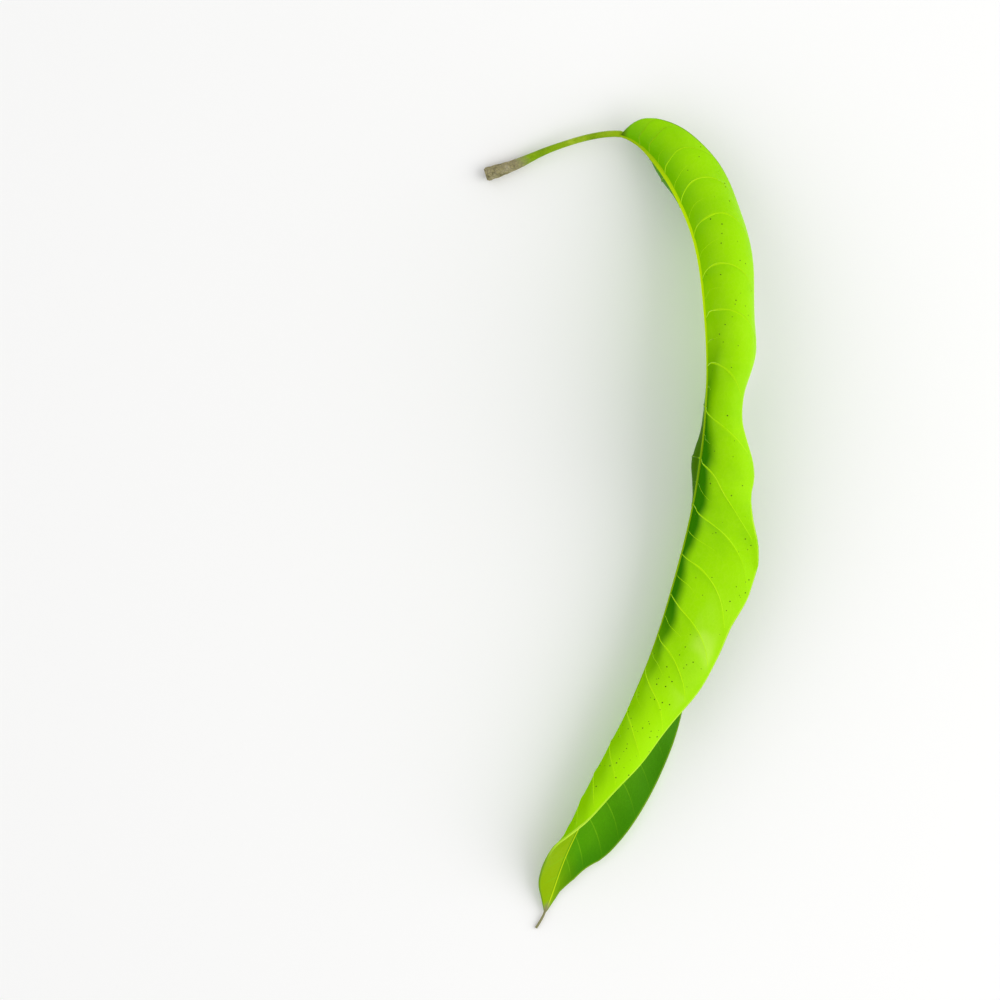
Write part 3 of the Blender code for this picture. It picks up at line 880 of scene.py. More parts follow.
@dataclass(frozen=True)
class BladeFinish(Finish):
    """The blade: bright lower face, deeper green upper face, pale midrib and veins.

    A span holds where a mask is 0 and where it is 1, and what it is there where that differs.
    Places along are shares of the blade's length. Places across are shares of the half width,
    below 0 on the far half. Gaps are in millimetres.
    """

    name: str = "leaf_blade"
    lime: Color = (0.325, 0.725, 0.0006)
    deep: Color = (0.205, 0.560, 0.0006)
    bright: Color = (0.375, 0.815, 0.0006)
    green: Color = (0.110, 0.440, 0.0006)
    shade: Color = (0.026, 0.190, 0.0006)
    pale: Color = (0.480, 0.820, 0.030)
    sheen: Color = (0.500, 0.800, 0.080)
    lens: Color = (0.056, 0.160, 0.0006)
    upper: Color = (0.082, 0.330, 0.0006)
    upper_dark: Color = (0.034, 0.200, 0.0006)
    upper_pale: Color = (0.120, 0.380, 0.002)
    olive: Color = (0.260, 0.440, 0.001)
    brown: Color = (0.060, 0.060, 0.004)
    rib_start: Color = (0.360, 0.560, 0.006)
    rib: Color = (0.600, 0.900, 0.004)
    rib_thin: Color = (0.280, 0.500, 0.006)
    rib_upper: Color = (0.480, 0.660, 0.006)
    thread: Color = (0.240, 0.230, 0.110)
    vein: Color = (0.500, 0.900, 0.002)
    vein_upper: Color = (0.220, 0.520, 0.008)
    net_scale: float = 620.0
    lower_patches: float = 55.0
    upper_patches: float = 70.0
    roughness: float = 0.34
    patch_roughness: float = 0.16
    relief_strength: float = 0.35
    relief_depth: float = 0.00009
    steepness: Span = (0.28, 1.00)
    scallop: Span = (0.0, 5.0, 0.10, -0.08)
    band_along: Spans = ((0.25, 0.39), (0.75, 0.59))
    band_gap: Span = (16.5, 8.5)
    band_share: float = 0.97
    band_least: Span = (0.58, 0.68, 0.06, 0.28)
    far_side: Span = (0.0, -0.03)
    far_band_along: Spans = ((0.27, 0.40), (0.75, 0.59))
    far_band_gap: Span = (15.0, 1.0, 0.0, 0.80)
    bulge_along: Spans = ((0.34, 0.40), (0.53, 0.47))
    bulge_across: Spans = ((-0.01, -0.05), (-0.56, -0.24))
    bulge_share: float = 0.90
    strip_along: Span = (0.20, 0.12)
    strip_across: Span = (-0.7, -0.4, 0.3, 0.7)
    stalk_end_along: Span = (0.32, 0.02, 0.0, 0.74)
    stalk_end_gap: Span = (10.0, 1.0, 0.14, 0.90)
    sheen_scale: float = 105.0
    sheen_along: Spans = ((0.54, 0.59), (0.68, 0.62))
    sheen_across: Spans = ((0.52, 0.72), (0.98, 0.86))
    sheen_spots: Span = (0.42, 0.62, 0.08, 0.52)
    vein_shadow_phase: Span = (0.34, 0.02)
    vein_shadow_gap: Span = (19.0, 3.0, 0.06, 0.36)
    cloud_scale: float = 42.0
    cloud_roughness: float = 0.62
    clouds: Span = (0.48, 0.30, 0.0, 0.28)
    bright_along: Spans = ((0.60, 0.72), (0.90, 0.84))
    bright_share: float = 0.6
    olive_along: Span = (0.86, 0.92, 0.0, 0.85)
    brown_along: Span = (0.012, 0.0, 0.0, 0.8)
    outward: Span = (-0.35, -1.0, 0.0, 0.75)
    near_side: Span = (-0.05, 0.10)
    tipward: Span = (0.90, 1.0, 0.0, 0.8)
    vein_line: Span = (0.24, 0.05)
    vein_across: Span = (0.40, 1.0, 1.0, 0.10)
    vein_along: Span = (0.05, 0.14)
    vein_share: float = 0.65
    rib_bright_along: Span = (0.0, 0.14)
    rib_thin_along: Span = (0.24, 0.44)
    rib_reach: Span = (0.12, 0.40, 0.15, 0.0)
    rib_edge: Span = (0.10, -0.20)
    rib_middle: Span = (-0.60, -0.90)
    thread_along: Span = (0.982, 0.998)

    def steep(self, g: Graph) -> Any:
        """Masks the steep strip beside the midrib, which is wider between two side veins.

        Args:
            g: The material's graph.

        Returns:
            The mask's socket.
        """
        swell = g.span(g.field("vein_gap"), *self.scallop)
        return g.span(g.math("SUBTRACT", g.field("steepness"), swell), *self.steepness)

    def band(self, g: Graph, steep: Any) -> Any:
        """Masks where the steep strip is painted in shade, mostly in the middle of the blade.

        Args:
            g: The material's graph.
            steep: Mask of the steep strip.

        Returns:
            The mask's socket.
        """
        along = g.field("along")
        near = g.span(g.field("rib_gap"), *self.band_gap)
        strong = g.product(g.window(along, self.band_along), near, self.band_share)
        return g.product(steep, g.math("MAXIMUM", strong, g.span(along, *self.band_least)))

    def bulge(self, g: Graph) -> Any:
        """Masks where the far half bulges past the midrib, which is painted in shade.

        Args:
            g: The material's graph.

        Returns:
            The mask's socket.
        """
        length = g.window(g.field("along"), self.bulge_along)
        return g.product(length, g.window(g.field("across"), self.bulge_across), self.bulge_share)

    def lower_tone(self, g: Graph, base: Any, band: Any, bulge: Any) -> Any:
        """Colours the lower face.

        Args:
            g: The material's graph.
            base: Colour of the tissue.
            band: Mask of the painted shade on the steep strip beside the midrib.
            bulge: Mask of the far half's bulge, which is painted in shade.

        Returns:
            The colour's socket.
        """
        along, across, rib_gap = (g.field(name) for name in ("along", "across", "rib_gap"))
        where = g.add("ShaderNodeTexCoord").outputs["Object"]
        spots = g.span(g.noise(where, self.sheen_scale, 1.0), *self.sheen_spots)
        clouds = g.noise(where, self.cloud_scale, 5.0, self.cloud_roughness)
        far_side = g.span(across, *self.far_side)
        layers = (
            # Deeper green beside the midrib near the stalk: the tissue's own deeper green, partly painted
            # shade.
            (g.product(g.span(along, *self.stalk_end_along), g.span(rib_gap, *self.stalk_end_gap)),
             self.green),
            # Painted highlight: a pale sheen in soft spots where the near half is widest.
            (g.product(g.window(along, self.sheen_along), g.window(across, self.sheen_across), spots),
             self.sheen),
            # Painted shade on the tip's side of each vein, and a deeper green in broad cloudy patches.
            (g.product(g.span(g.field("vein_phase"), *self.vein_shadow_phase),
                       g.span(rib_gap, *self.vein_shadow_gap)), self.deep),
            (g.span(clouds, *self.clouds), self.deep),
            # Brighter towards the tip.
            (g.product(g.window(along, self.bright_along), self.bright_share), self.bright),
            # Painted shade beside the midrib on both halves, and on the far half's bulge.
            (band, self.shade),
            (g.product(g.window(along, self.far_band_along), far_side,
                       g.span(rib_gap, *self.far_band_gap)), self.shade),
            (bulge, self.lens),
            # Painted shade on a strip of the far half near the stalk.
            (g.product(g.span(along, *self.strip_along), far_side,
                       g.span(across, *self.strip_across)), self.shade),
            # An olive tip and a brown seam where the blade meets the stalk.
            (g.span(along, *self.olive_along), self.olive),
            (g.span(along, *self.brown_along), self.brown),
        )
        return g.paint(base, layers)

    def upper_tone(self, g: Graph, base: Any) -> Any:
        """Colours the upper face. It turns olive on the near half, where the colour stands in for light
        shining through the blade, and towards the tip.

        Args:
            g: The material's graph.
            base: Colour of the tissue.

        Returns:
            The colour's socket.
        """
        across = g.field("across")
        olive = g.math("MAXIMUM", g.span(across, *self.near_side), g.span(g.field("along"), *self.tipward))
        return g.paint(base, ((g.span(across, *self.outward), self.upper_dark), (olive, self.olive)))

    def rib_tone(self, g: Graph, face: Any) -> Any:
        """Colours the midrib.

        Args:
            g: The material's graph.
            face: 1 on the upper face.

        Returns:
            The colour's socket.
        """
        along = g.field("along")
        return g.paint(solid(self.rib_start), (
            (g.span(along, *self.rib_bright_along), self.rib),
            (g.span(along, *self.rib_thin_along), self.rib_thin),
            (face, self.rib_upper),
        ))

    def rib_mask(self, g: Graph, face: Any) -> Any:
        """Masks the midrib, which shows wider on the lower face and near the stalk.

        Args:
            g: The material's graph.
            face: 1 on the upper face.

        Returns:
            The mask's socket.
        """
        rib_gap = g.field("rib_gap")
        edge = g.math("SUBTRACT", rib_gap, g.span(g.field("along"), *self.rib_reach))
        inner = g.math("SUBTRACT", g.span(rib_gap, *self.rib_middle), 1.0)
        whole = g.math("ADD", g.span(edge, *self.rib_edge), g.product(inner, face))
        return g.math("MAXIMUM", whole, 0.0)

    def build(self) -> Any:
        """Builds the material.

        Returns:
            The material.
        """
        material, g, shader = self.start()
        along = g.field("along")
        face = g.field("upper")
        lower = self.tissue(g, color=solid(self.lime), dark_color=solid(self.green),
                            pale_color=solid(self.pale), patch_scale=self.lower_patches,
                            net_scale=self.net_scale, net_strength=0.10, patch_strength=0.14)
        upper = self.tissue(g, color=solid(self.upper), dark_color=solid(self.upper_dark),
                            pale_color=solid(self.upper_pale), patch_scale=self.upper_patches,
                            net_scale=self.net_scale, net_strength=0.14, patch_strength=0.30)
        steep = self.steep(g)
        bulge = self.bulge(g)
        tone = g.mix(face, self.lower_tone(g, lower.outputs["Color"], self.band(g, steep), bulge),
                     self.upper_tone(g, upper.outputs["Color"]))
        line = g.product(g.span(g.field("vein_gap"), *self.vein_line),
                         g.span(g.math("ABSOLUTE", g.field("across")), *self.vein_across),
                         g.span(along, *self.vein_along), self.vein_share)
        tone = g.mix(line, tone, g.mix(face, solid(self.vein), solid(self.vein_upper)))
        tone = g.mix(self.rib_mask(g, face), tone, self.rib_tone(g, face))
        tone = g.mix(g.span(along, *self.thread_along), tone, solid(self.thread))
        g.tree.links.new(tone, shader.inputs["Base Color"])
        rough = g.math("ADD", g.product(lower.outputs["Patches"], self.patch_roughness), self.roughness)
        g.tree.links.new(rough, shader.inputs["Roughness"])
        # The steep strip and the bulge have no shine.
        matt = g.math("SUBTRACT", 1.0, g.math("MAXIMUM", steep, bulge))
        g.tree.links.new(g.product(matt, self.shine), shader.inputs["Specular IOR Level"])
        self.bump(g, shader, lower.outputs["Height"], self.relief_strength, self.relief_depth)
        return material


@dataclass(frozen=True)
class StalkFinish(Finish):
    """The stalk: green along its length, with a dry, cracked, grey-brown foot.

    Spans are distances from the foot in millimetres, as in the blade's finish.
    """

    name: str = "leaf_stalk"
    green: Color = (0.250, 0.420, 0.006)
    green_dark: Color = (0.110, 0.240, 0.003)
    green_pale: Color = (0.500, 0.640, 0.050)
    neck: Color = (0.330, 0.530, 0.006)
    bark: Color = (0.330, 0.290, 0.150)
    bark_dark: Color = (0.060, 0.060, 0.020)
    bark_pale: Color = (0.470, 0.420, 0.280)
    ragged: float = 7.0
    dry_end: Span = (19.0, 13.0)
    dry_roughness: Span = (19.0, 13.0, 0.45, 0.80)
    dry_relief: Span = (21.0, 12.0, 0.25, 1.0)
    neck_start: Span = (37.0, 43.0, 0.0, 0.7)
    relief_strength: float = 0.8
    relief_depth: float = 0.00050

    def build(self) -> Any:
        """Builds the material.

        Returns:
            The material.
        """
        material, g, shader = self.start()
        foot = g.field("foot_gap")
        green = self.tissue(g, color=solid(self.green), dark_color=solid(self.green_dark),
                            pale_color=solid(self.green_pale), patch_scale=160.0, net_scale=1500.0,
                            net_strength=0.12, patch_strength=0.5)
        bark = self.tissue(g, color=solid(self.bark), dark_color=solid(self.bark_dark),
                           pale_color=solid(self.bark_pale), patch_scale=420.0, net_scale=900.0,
                           net_strength=0.35, patch_strength=0.9)
        broken = g.math("ADD", foot, g.product(bark.outputs["Patches"], self.ragged))
        tone = g.mix(g.span(foot, *self.neck_start), green.outputs["Color"], solid(self.neck))
        tone = g.mix(g.span(broken, *self.dry_end), tone, bark.outputs["Color"])
        g.tree.links.new(tone, shader.inputs["Base Color"])
        g.tree.links.new(g.span(broken, *self.dry_roughness), shader.inputs["Roughness"])
        relief = g.product(bark.outputs["Height"], g.span(broken, *self.dry_relief))
        self.bump(g, shader, relief, self.relief_strength, self.relief_depth)
        return material


@dataclass(frozen=True)
class CordFinish(Finish):
    """Veins and margin: pale ridges that grow dim where their tone value asks for it."""

    name: str = "leaf_vein"
    color: Color = (0.500, 0.890, 0.003)
    dark: Color = (0.280, 0.640, 0.002)
    pale: Color = (0.620, 0.920, 0.040)
    dim: Color = (0.050, 0.170, 0.0006)
    roughness: float = 0.40

    def build(self) -> Any:
        """Builds the material.

        Returns:
            The material.
        """
        material, g, shader = self.start()
        tissue = self.tissue(g, color=solid(self.color), dark_color=solid(self.dark),
                             pale_color=solid(self.pale), patch_scale=120.0, net_scale=2200.0,
                             net_strength=0.10, patch_strength=0.45)
        tone = g.mix(g.field("cord_tone"), tissue.outputs["Color"], solid(self.dim))
        g.tree.links.new(tone, shader.inputs["Base Color"])
        shader.inputs["Roughness"].default_value = self.roughness
        self.bump(g, shader, tissue.outputs["Height"], strength=0.15, depth=0.00005)
        return material


@dataclass(frozen=True)
class SpeckFinish(Finish):
    """Small dark spots on the lower face."""

    name: str = "leaf_speck"
    color: Color = (0.090, 0.150, 0.006)
    dark: Color = (0.035, 0.055, 0.004)
    pale: Color = (0.180, 0.260, 0.012)
    roughness: float = 0.7

    def build(self) -> Any:
        """Builds the material.

        Returns:
            The material.
        """
        material, g, shader = self.start()
        tissue = self.tissue(g, color=solid(self.color), dark_color=solid(self.dark),
                             pale_color=solid(self.pale), patch_scale=300.0, net_scale=2500.0,
                             net_strength=0.1, patch_strength=0.8)
        g.tree.links.new(tissue.outputs["Color"], shader.inputs["Base Color"])
        shader.inputs["Roughness"].default_value = self.roughness
        return material


@dataclass(frozen=True)
class FloorFinish(Finish):
    """The plain pale floor."""

    name: str = "pale_floor"
    shine: float = 0.1
    shine_tint: Color = (1.0, 1.0, 1.0)
    color: Color = (0.945, 0.945, 0.945)
    other: Color = (0.89, 0.89, 0.89)
    cloud_scale: float = 3.0
    cloud_share: float = 0.1
    roughness: float = 0.9

    def build(self) -> Any:
        """Builds the material.

        Returns:
            The material.
        """
        material, g, shader = self.start()
        clouds = g.noise(g.add("ShaderNodeTexCoord").outputs["Object"], self.cloud_scale, 2.0)
        shade = g.mix(g.product(clouds, self.cloud_share), solid(self.color), solid(self.other))
        g.tree.links.new(shade, shader.inputs["Base Color"])
        shader.inputs["Roughness"].default_value = self.roughness
        return material


class Pieces:
    """Turns arrays and node trees into finished pieces."""

    @staticmethod
    def carrier(name: str, points: Array, edges: list[tuple[int, int]], faces: list[list[int]],
                fields: dict[str, Array]) -> Any:
        """Makes a mesh object that carries named values.

        Args:
            name: The object's name.
            points: Its points in millimetres.
            edges: Pairs of point numbers.
            faces: Faces as lists of point numbers.
            fields: Values or directions for each point, by name.

        Returns:
            The object, linked to the scene.
        """
        mesh = bpy.data.meshes.new(name)
        mesh.from_pydata((points * MM).tolist(), edges, faces)
        for key, values in fields.items():
            if values.ndim == 2:
                mesh.attributes.new(key, "FLOAT_VECTOR", "POINT").data.foreach_set(
                    "vector", values.astype(np.float32).ravel())
            else:
                mesh.attributes.new(key, "FLOAT", "POINT").data.foreach_set(
                    "value", values.astype(np.float32))
        made = bpy.data.objects.new(name, mesh)
        bpy.context.scene.collection.objects.link(made)
        return made

    @staticmethod
    def grow(carrier: Any, name: str, tree: Any, inputs: dict[str, Any]) -> Any:
        """Runs a geometry tree on a carrier and keeps the plain mesh.

        Args:
            carrier: The object that the tree works on.
            name: The finished piece's name.
            tree: The geometry node tree.
            inputs: Values for its named inputs.

        Returns:
            The finished piece.
        """
        modifier = carrier.modifiers.new(tree.name, "NODES")
        modifier.node_group = tree
        for item in tree.interface.items_tree:
            if item.item_type == "SOCKET" and item.in_out == "INPUT" and item.name in inputs:
                modifier[item.identifier] = inputs[item.name]
        graph = bpy.context.evaluated_depsgraph_get()
        mesh = bpy.data.meshes.new_from_object(carrier.evaluated_get(graph))
        mesh.name = name
        made = bpy.data.objects.new(name, mesh)
        bpy.context.scene.collection.objects.link(made)
        old = carrier.data
        bpy.data.objects.remove(carrier, do_unlink=True)
        bpy.data.meshes.remove(old)
        return made

    @staticmethod
    def keep_inside(piece: Any) -> None:
        """Moves stray points back inside the plain leaf's box.

        Args:
            piece: The finished piece.
        """
        low, high = (np.array(corner) for corner in CAD_BOX)
        places = np.empty(len(piece.data.vertices) * 3, np.float32)
        piece.data.vertices.foreach_get("co", places)
        places = np.clip(places.reshape(-1, 3), low, high)
        piece.data.vertices.foreach_set("co", places.astype(np.float32).ravel())
        piece.data.update()

    @staticmethod
    def hand_over(piece: Any, replaces: bool = False) -> None:
        """Declares a piece to the frame and logs it.

        Args:
            piece: The finished piece.
            replaces: Whether it stands in for the plain leaf.
        """
        Pieces.keep_inside(piece)
        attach(piece, BODY)
        if replaces:
            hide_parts(NODE)
        piece.data.calc_loop_triangles()
        log.info("%s: %d triangles", piece.name, len(piece.data.loop_triangles))


class GrowthTree:
    """Base of the geometry trees: named inputs, and an end that realizes and dresses."""

    NAME = "growth"
    NUMBERS: dict[str, float] = {}
    COUNTS: dict[str, int] = {}
    MATERIALS: tuple[str, ...] = ("Material",)

    def start(self) -> tuple[Any, Graph, Any]:
        """Makes the tree with its inputs.

        Returns:
            The tree, its graph and the input node's outputs.
        """
        tree = bpy.data.node_groups.new(self.NAME, "GeometryNodeTree")
        face = tree.interface
        face.new_socket("Geometry", in_out="OUTPUT", socket_type="NodeSocketGeometry")
        face.new_socket("Geometry", in_out="INPUT", socket_type="NodeSocketGeometry")
        for name, value in self.NUMBERS.items():
            face.new_socket(name, in_out="INPUT", socket_type="NodeSocketFloat").default_value = value
        for name, value in self.COUNTS.items():
            face.new_socket(name, in_out="INPUT", socket_type="NodeSocketInt").default_value = value
        for name in self.MATERIALS:
            face.new_socket(name, in_out="INPUT", socket_type="NodeSocketMaterial")
        g = Graph(tree)
        return tree, g, g.add("NodeGroupInput").outputs

    def end(self, g: Graph, given: Any, geometry: Any, **parts: Any) -> None:
        """Realizes, smooths and dresses the result.

        Args:
            g: The tree's graph.
            given: The input node's outputs.
            geometry: What the tree made.
            **parts: Selection for a material that covers only a part, by name with _ for a space.
        """
        real = g.out("GeometryNodeRealizeInstances", {"Geometry": geometry})
        made = g.out("GeometryNodeSetShadeSmooth", {"Geometry": real})
        for name in self.MATERIALS:
            made = g.out("GeometryNodeSetMaterial",
                         {"Geometry": made, "Material": given[name],
                          "Selection": parts.get(name.replace(" ", "_"), True)})
        g.add("NodeGroupOutput", {"Geometry": made})


class ReliefTree(GrowthTree):
    """The geometry tree that raises the side veins on the lower face and puckers the skin."""

    NAME = "leaf_relief"
    NUMBERS = {"Ridge Height": 0.00022, "Ridge Width": 0.9, "Pucker": 0.00005, "Pucker Scale": 170.0}
    MATERIALS = ("Blade Material", "Stalk Material")

    def build(self) -> Any:
        """Builds the tree.

        Returns:
            The node tree.
        """
        tree, g, given = self.start()
        gap = g.math("DIVIDE", g.field("vein_gap"), given["Ridge Width"])
        ridge = g.product(g.span(gap, 1.0, 0.0), g.field("ridge_share"), given["Ridge Height"])
        noise = g.noise(g.out("GeometryNodeInputPosition"), given["Pucker Scale"], 2.0)
        pucker = g.product(g.math("SUBTRACT", noise, 0.5), given["Pucker"], g.field("skin_share"))
        facing = g.add("GeometryNodeInputNamedAttribute", {"Name": "facing"}, data_type="FLOAT_VECTOR")
        push = g.add("ShaderNodeVectorMath", {0: facing.outputs[0]}, operation="SCALE")
        tree.links.new(g.math("ADD", ridge, pucker), push.inputs["Scale"])
        moved = g.out("GeometryNodeSetPosition", {"Geometry": given["Geometry"],
                                                  "Offset": push.outputs[0]})
        on_stalk = g.out("FunctionNodeCompare", {"A": g.field("along"), "B": 0.0},
                         data_type="FLOAT", operation="LESS_THAN")
        self.end(g, given, moved, Stalk_Material=on_stalk)
        return tree


class CordTree(GrowthTree):
    """The geometry tree that lays round cords along edges, as thick as their radius value."""

    NAME = "leaf_cords"
    NUMBERS = {"Thickness": 1.0}
    COUNTS = {"Sides": 8}

    def build(self) -> Any:
        """Builds the tree.

        Returns:
            The node tree.
        """
        tree, g, given = self.start()
        curve = g.out("GeometryNodeMeshToCurve", {"Mesh": given["Geometry"]})
        profile = g.out("GeometryNodeCurvePrimitiveCircle", {"Resolution": given["Sides"], "Radius": 1.0})
        scale = g.product(g.field("cord_radius"), given["Thickness"])
        self.end(g, given, g.out("GeometryNodeCurveToMesh",
                                 {"Curve": curve, "Profile Curve": profile, "Scale": scale,
                                  "Fill Caps": True}))
        return tree


class SpeckTree(GrowthTree):
    """The geometry tree that scatters low domes over the lower face."""

    NAME = "leaf_specks"
    NUMBERS = {"Density": 20000.0, "Smallest": 0.00010, "Largest": 0.00028, "Flatness": 0.3}
    COUNTS = {"Seed": 4}

    def build(self) -> Any:
        """Builds the tree.

        Returns:
            The node tree.
        """
        tree, g, given = self.start()
        density = g.product(given["Density"], g.field("speck_share"))
        spread = g.add("GeometryNodeDistributePointsOnFaces",
                       {"Mesh": given["Geometry"], "Density": density, "Seed": given["Seed"]}).outputs
        dot = g.out("GeometryNodeMeshIcoSphere", {"Radius": 1.0, "Subdivisions": 1})
        size = g.out("FunctionNodeRandomValue", {"Min": given["Smallest"], "Max": given["Largest"],
                                                 "Seed": given["Seed"]}, data_type="FLOAT")
        scale = g.out("ShaderNodeCombineXYZ", {"X": size, "Y": size,
                                               "Z": g.product(size, given["Flatness"])})
        self.end(g, given, g.out("GeometryNodeInstanceOnPoints",
                                 {"Points": spread["Points"], "Instance": dot,
                                  "Rotation": spread["Rotation"], "Scale": scale}))
        return tree


@dataclass(frozen=True)
class SpeckCrowd:
    """How crowded the specks are on the lower face. Spans are where a ramp starts and ends."""

    everywhere: float = 1.3
    tipward: float = 3.2
    tipward_rise: Span = (0.60, 0.68)
    tipward_fall: Span = (0.20, 0.27)
    outer: float = 1.6
    outer_along: Span = (0.36, 0.44)
    outer_across: Span = (0.6, 0.8)
    rib_clear: Span = (0.08, 0.2)
    margin_clear: Span = (0.02, 0.08)

    def share(self, along: float, out: Array) -> Array:
        """Says how crowded they are along one ring.

        Args:
            along: Share of the blade's length.
            out: Shares of the half width.

        Returns:
            The crowding at each place.
        """
        crowd = self.everywhere + self.tipward * Curves.ramp(along, *self.tipward_rise) * Curves.ramp(
            1 - along, *self.tipward_fall)
        crowd = crowd + self.outer * Curves.ramp(along, *self.outer_along) * Curves.ramp(
            out, *self.outer_across)
        return crowd * Curves.ramp(out, *self.rib_clear) * Curves.ramp(1 - out, *self.margin_clear)


class LeafBody:
    """The fine leaf: stalk, blade with midrib, and drip tip, as one closed mesh."""

    FIELDS = ("along", "across", "rib_gap", "vein_gap", "vein_phase", "foot_gap", "upper",
              "ridge_share", "skin_share", "speck_share", "steepness")
    VEINLESS = 9.0
    SKIN_START: Span = (0.0, 0.1)
    SKIN_END: Span = (0.0, 0.05)
    LEAST_BULGE = 0.02

    def __init__(self, sizes: LeafSizes, fineness: Fineness, form: BladeForm) -> None:
        """Lays out all rings.

        Args:
            sizes: The leaf's form.
            fineness: How fine the mesh is.
            form: The blade's surface.
        """
        self.sizes = sizes
        self.veins = VeinSizes()
        self.fine = fineness
        self.form = form
        self.line = form.line
        self.u = np.linspace(0, 1, fineness.columns) ** fineness.column_crowding
        self.points: list[Array] = []
        self.facing: list[Array] = []
        self.values: dict[str, list[Array]] = {key: [] for key in self.FIELDS}
        self.index: list[list[Array]] = [[], []]
        self.count = 0
        self.lay_out()

    def rows(self) -> Array:
        """Shares of the blade's length at which rows leave the midrib.

        Returns:
            The shares, with every vein among them.
        """
        veins = np.array((0.0,) + self.sizes.side_veins + (1.0,))
        steps = np.arange(self.fine.rows_between_veins) / self.fine.rows_between_veins
        # Rows crowd a little towards the veins, where the ridges are.
        steps = steps - self.fine.row_crowding * np.sin(2 * np.pi * steps) / np.pi
        shares = [a + (b - a) * steps for a, b in zip(veins, veins[1:])]
        return np.concatenate(shares + [[1.0]])

    def arc(self, first: Array, last: Array, away: Array, depth: float) -> list[Array]:
        """Points on half an ellipse between two edges.

        Args:
            first: Where it starts.
            last: Where it ends.
            away: The direction that it bulges in.
            depth: How far.

        Returns:
            The points between the two edges.
        """
        angle = np.pi * np.arange(1, self.fine.rib_steps) / self.fine.rib_steps
        middle = (first + last) / 2
        across = (last - first) / 2
        return [middle - across * np.cos(a) + away * depth * np.sin(a) for a in angle]

    def keep(self, skin: Skin, places: Array, facing: Array, core: bool, fields: dict[str, Any]) -> None:
        """Keeps one side of one ring.

        Args:
            skin: Which face of the blade.
            places: The ring's points.
            facing: The direction that each looks in.
            core: Whether the ring has no blade, so that its outer columns share a point.
            fields: The values of its points, where they aren't 0.
        """
        number = self.count + np.arange(len(places))
        if core:
            outer = self.fine.columns - 1
            number = np.concatenate([[number[0]] * outer, number, [number[-1]] * outer])
        self.index[skin.value].append(number)
        self.points.append(places)
        self.facing.append(facing)
        for key, kept in self.values.items():
            kept.append(np.broadcast_to(fields.get(key, 0.0), len(places)).astype(float))
        self.count += len(places)

    def core_rings(self, share: float, distances: Array, radii: Array) -> None:
        """Adds round rings of stalk or drip tip.

        Args:
            share: Share of the blade's length at which the rings take their turn.
            distances: Their distances from the stalk's foot.
            radii: Their radii.
        """
        _, right, up = self.line.frame(
            np.array(self.line.blade_start + share * self.line.blade_length))
        first, last, away = self.form.rib_directions(share)
        across = np.cross(away, np.cross(right, up))
        turn = np.array([across @ right, across @ up])
        turn /= np.linalg.norm(turn) * np.sign(across @ first)
        flat = self.sizes.thickness_at_rib / 2
        middle = (first + last) / 2 * self.form.rib(np.array(share))
        place = self.line.blade_start + share * self.line.blade_length
        for distance, radius in zip(distances, radii):
            centre, right, up = self.line.frame(np.array(distance))
            eased = np.clip(1 - abs(distance - place) / self.sizes.eased_length, 0, 1) ** 2
            centre = centre + middle * eased
            first = right * turn[0] + up * turn[1]
            away = right * -turn[1] + up * turn[0]
            for skin, sign in ((Skin.UPPER, -1), (Skin.LOWER, 1)):
                start, end = (centre + first * radius * k + away * sign * flat for k in (1, -1))
                bulge = max(radius - flat, self.LEAST_BULGE)
                places = np.array([start] + self.arc(start, end, away * sign, bulge) + [end])
                looks = places - centre
                looks /= np.linalg.norm(looks, axis=1, keepdims=True)
                self.keep(skin, places, looks, True,
                          {"along": (distance - self.line.blade_start) / self.line.blade_length,
                           "foot_gap": distance, "vein_gap": self.VEINLESS, "rib_gap": -radius})

    def ring_fields(self, skin: Skin, share: float, lanes: Array, looks: Array) -> dict[str, Any]:
        """Works out the values that one side of a blade ring carries.

        Args:
            skin: Which face of the blade.
            share: Share of the blade's length.
            lanes: Shares of the half width at which the ring has points.
            looks: The direction that each point looks in.

        Returns:
            The values by name.
        """
        rib = np.zeros(self.fine.rib_steps - 1)
        round_rib = -np.sin(np.pi * np.arange(1, self.fine.rib_steps) / self.fine.rib_steps)
        across = np.concatenate([np.flip(lanes), rib, -lanes])
        blade = np.concatenate([np.ones(len(lanes)), rib, np.ones(len(lanes))])
        out = np.abs(across)
        row = np.array([share])
        width = self.form.half_width(row)
        fields = {
            "along": share, "across": across,
            "foot_gap": self.line.blade_start + share * self.line.blade_length,
            "rib_gap": np.concatenate([np.flip(lanes) * width, round_rib, lanes * width]),
            "vein_gap": np.where(blade > 0, self.form.vein_gap(row), self.VEINLESS),
            "vein_phase": self.form.phase(row),
            "skin_share": (blade * Curves.ramp(out, *self.SKIN_START)
                           * Curves.ramp(1 - out, *self.SKIN_END)),
        }
        if skin is Skin.UPPER:
            fields["upper"] = 1.0
            return fields
        raised = 1 - self.veins.flattening * share
        fields["ridge_share"] = blade * Curves.ramp(1 - out, *self.veins.raised_end) * raised
        # Steepness of the near half's left-facing points, turned away from the key light; the blade's
        # finish paints shade there.
        tilt = np.arccos(np.clip(np.abs(looks[:, 2]), 0, 1))
        fields["steepness"] = tilt * (looks[:, 0] < 0) * (across >= 0)
        fields["speck_share"] = blade * SpeckCrowd().share(share, out)
        return fields

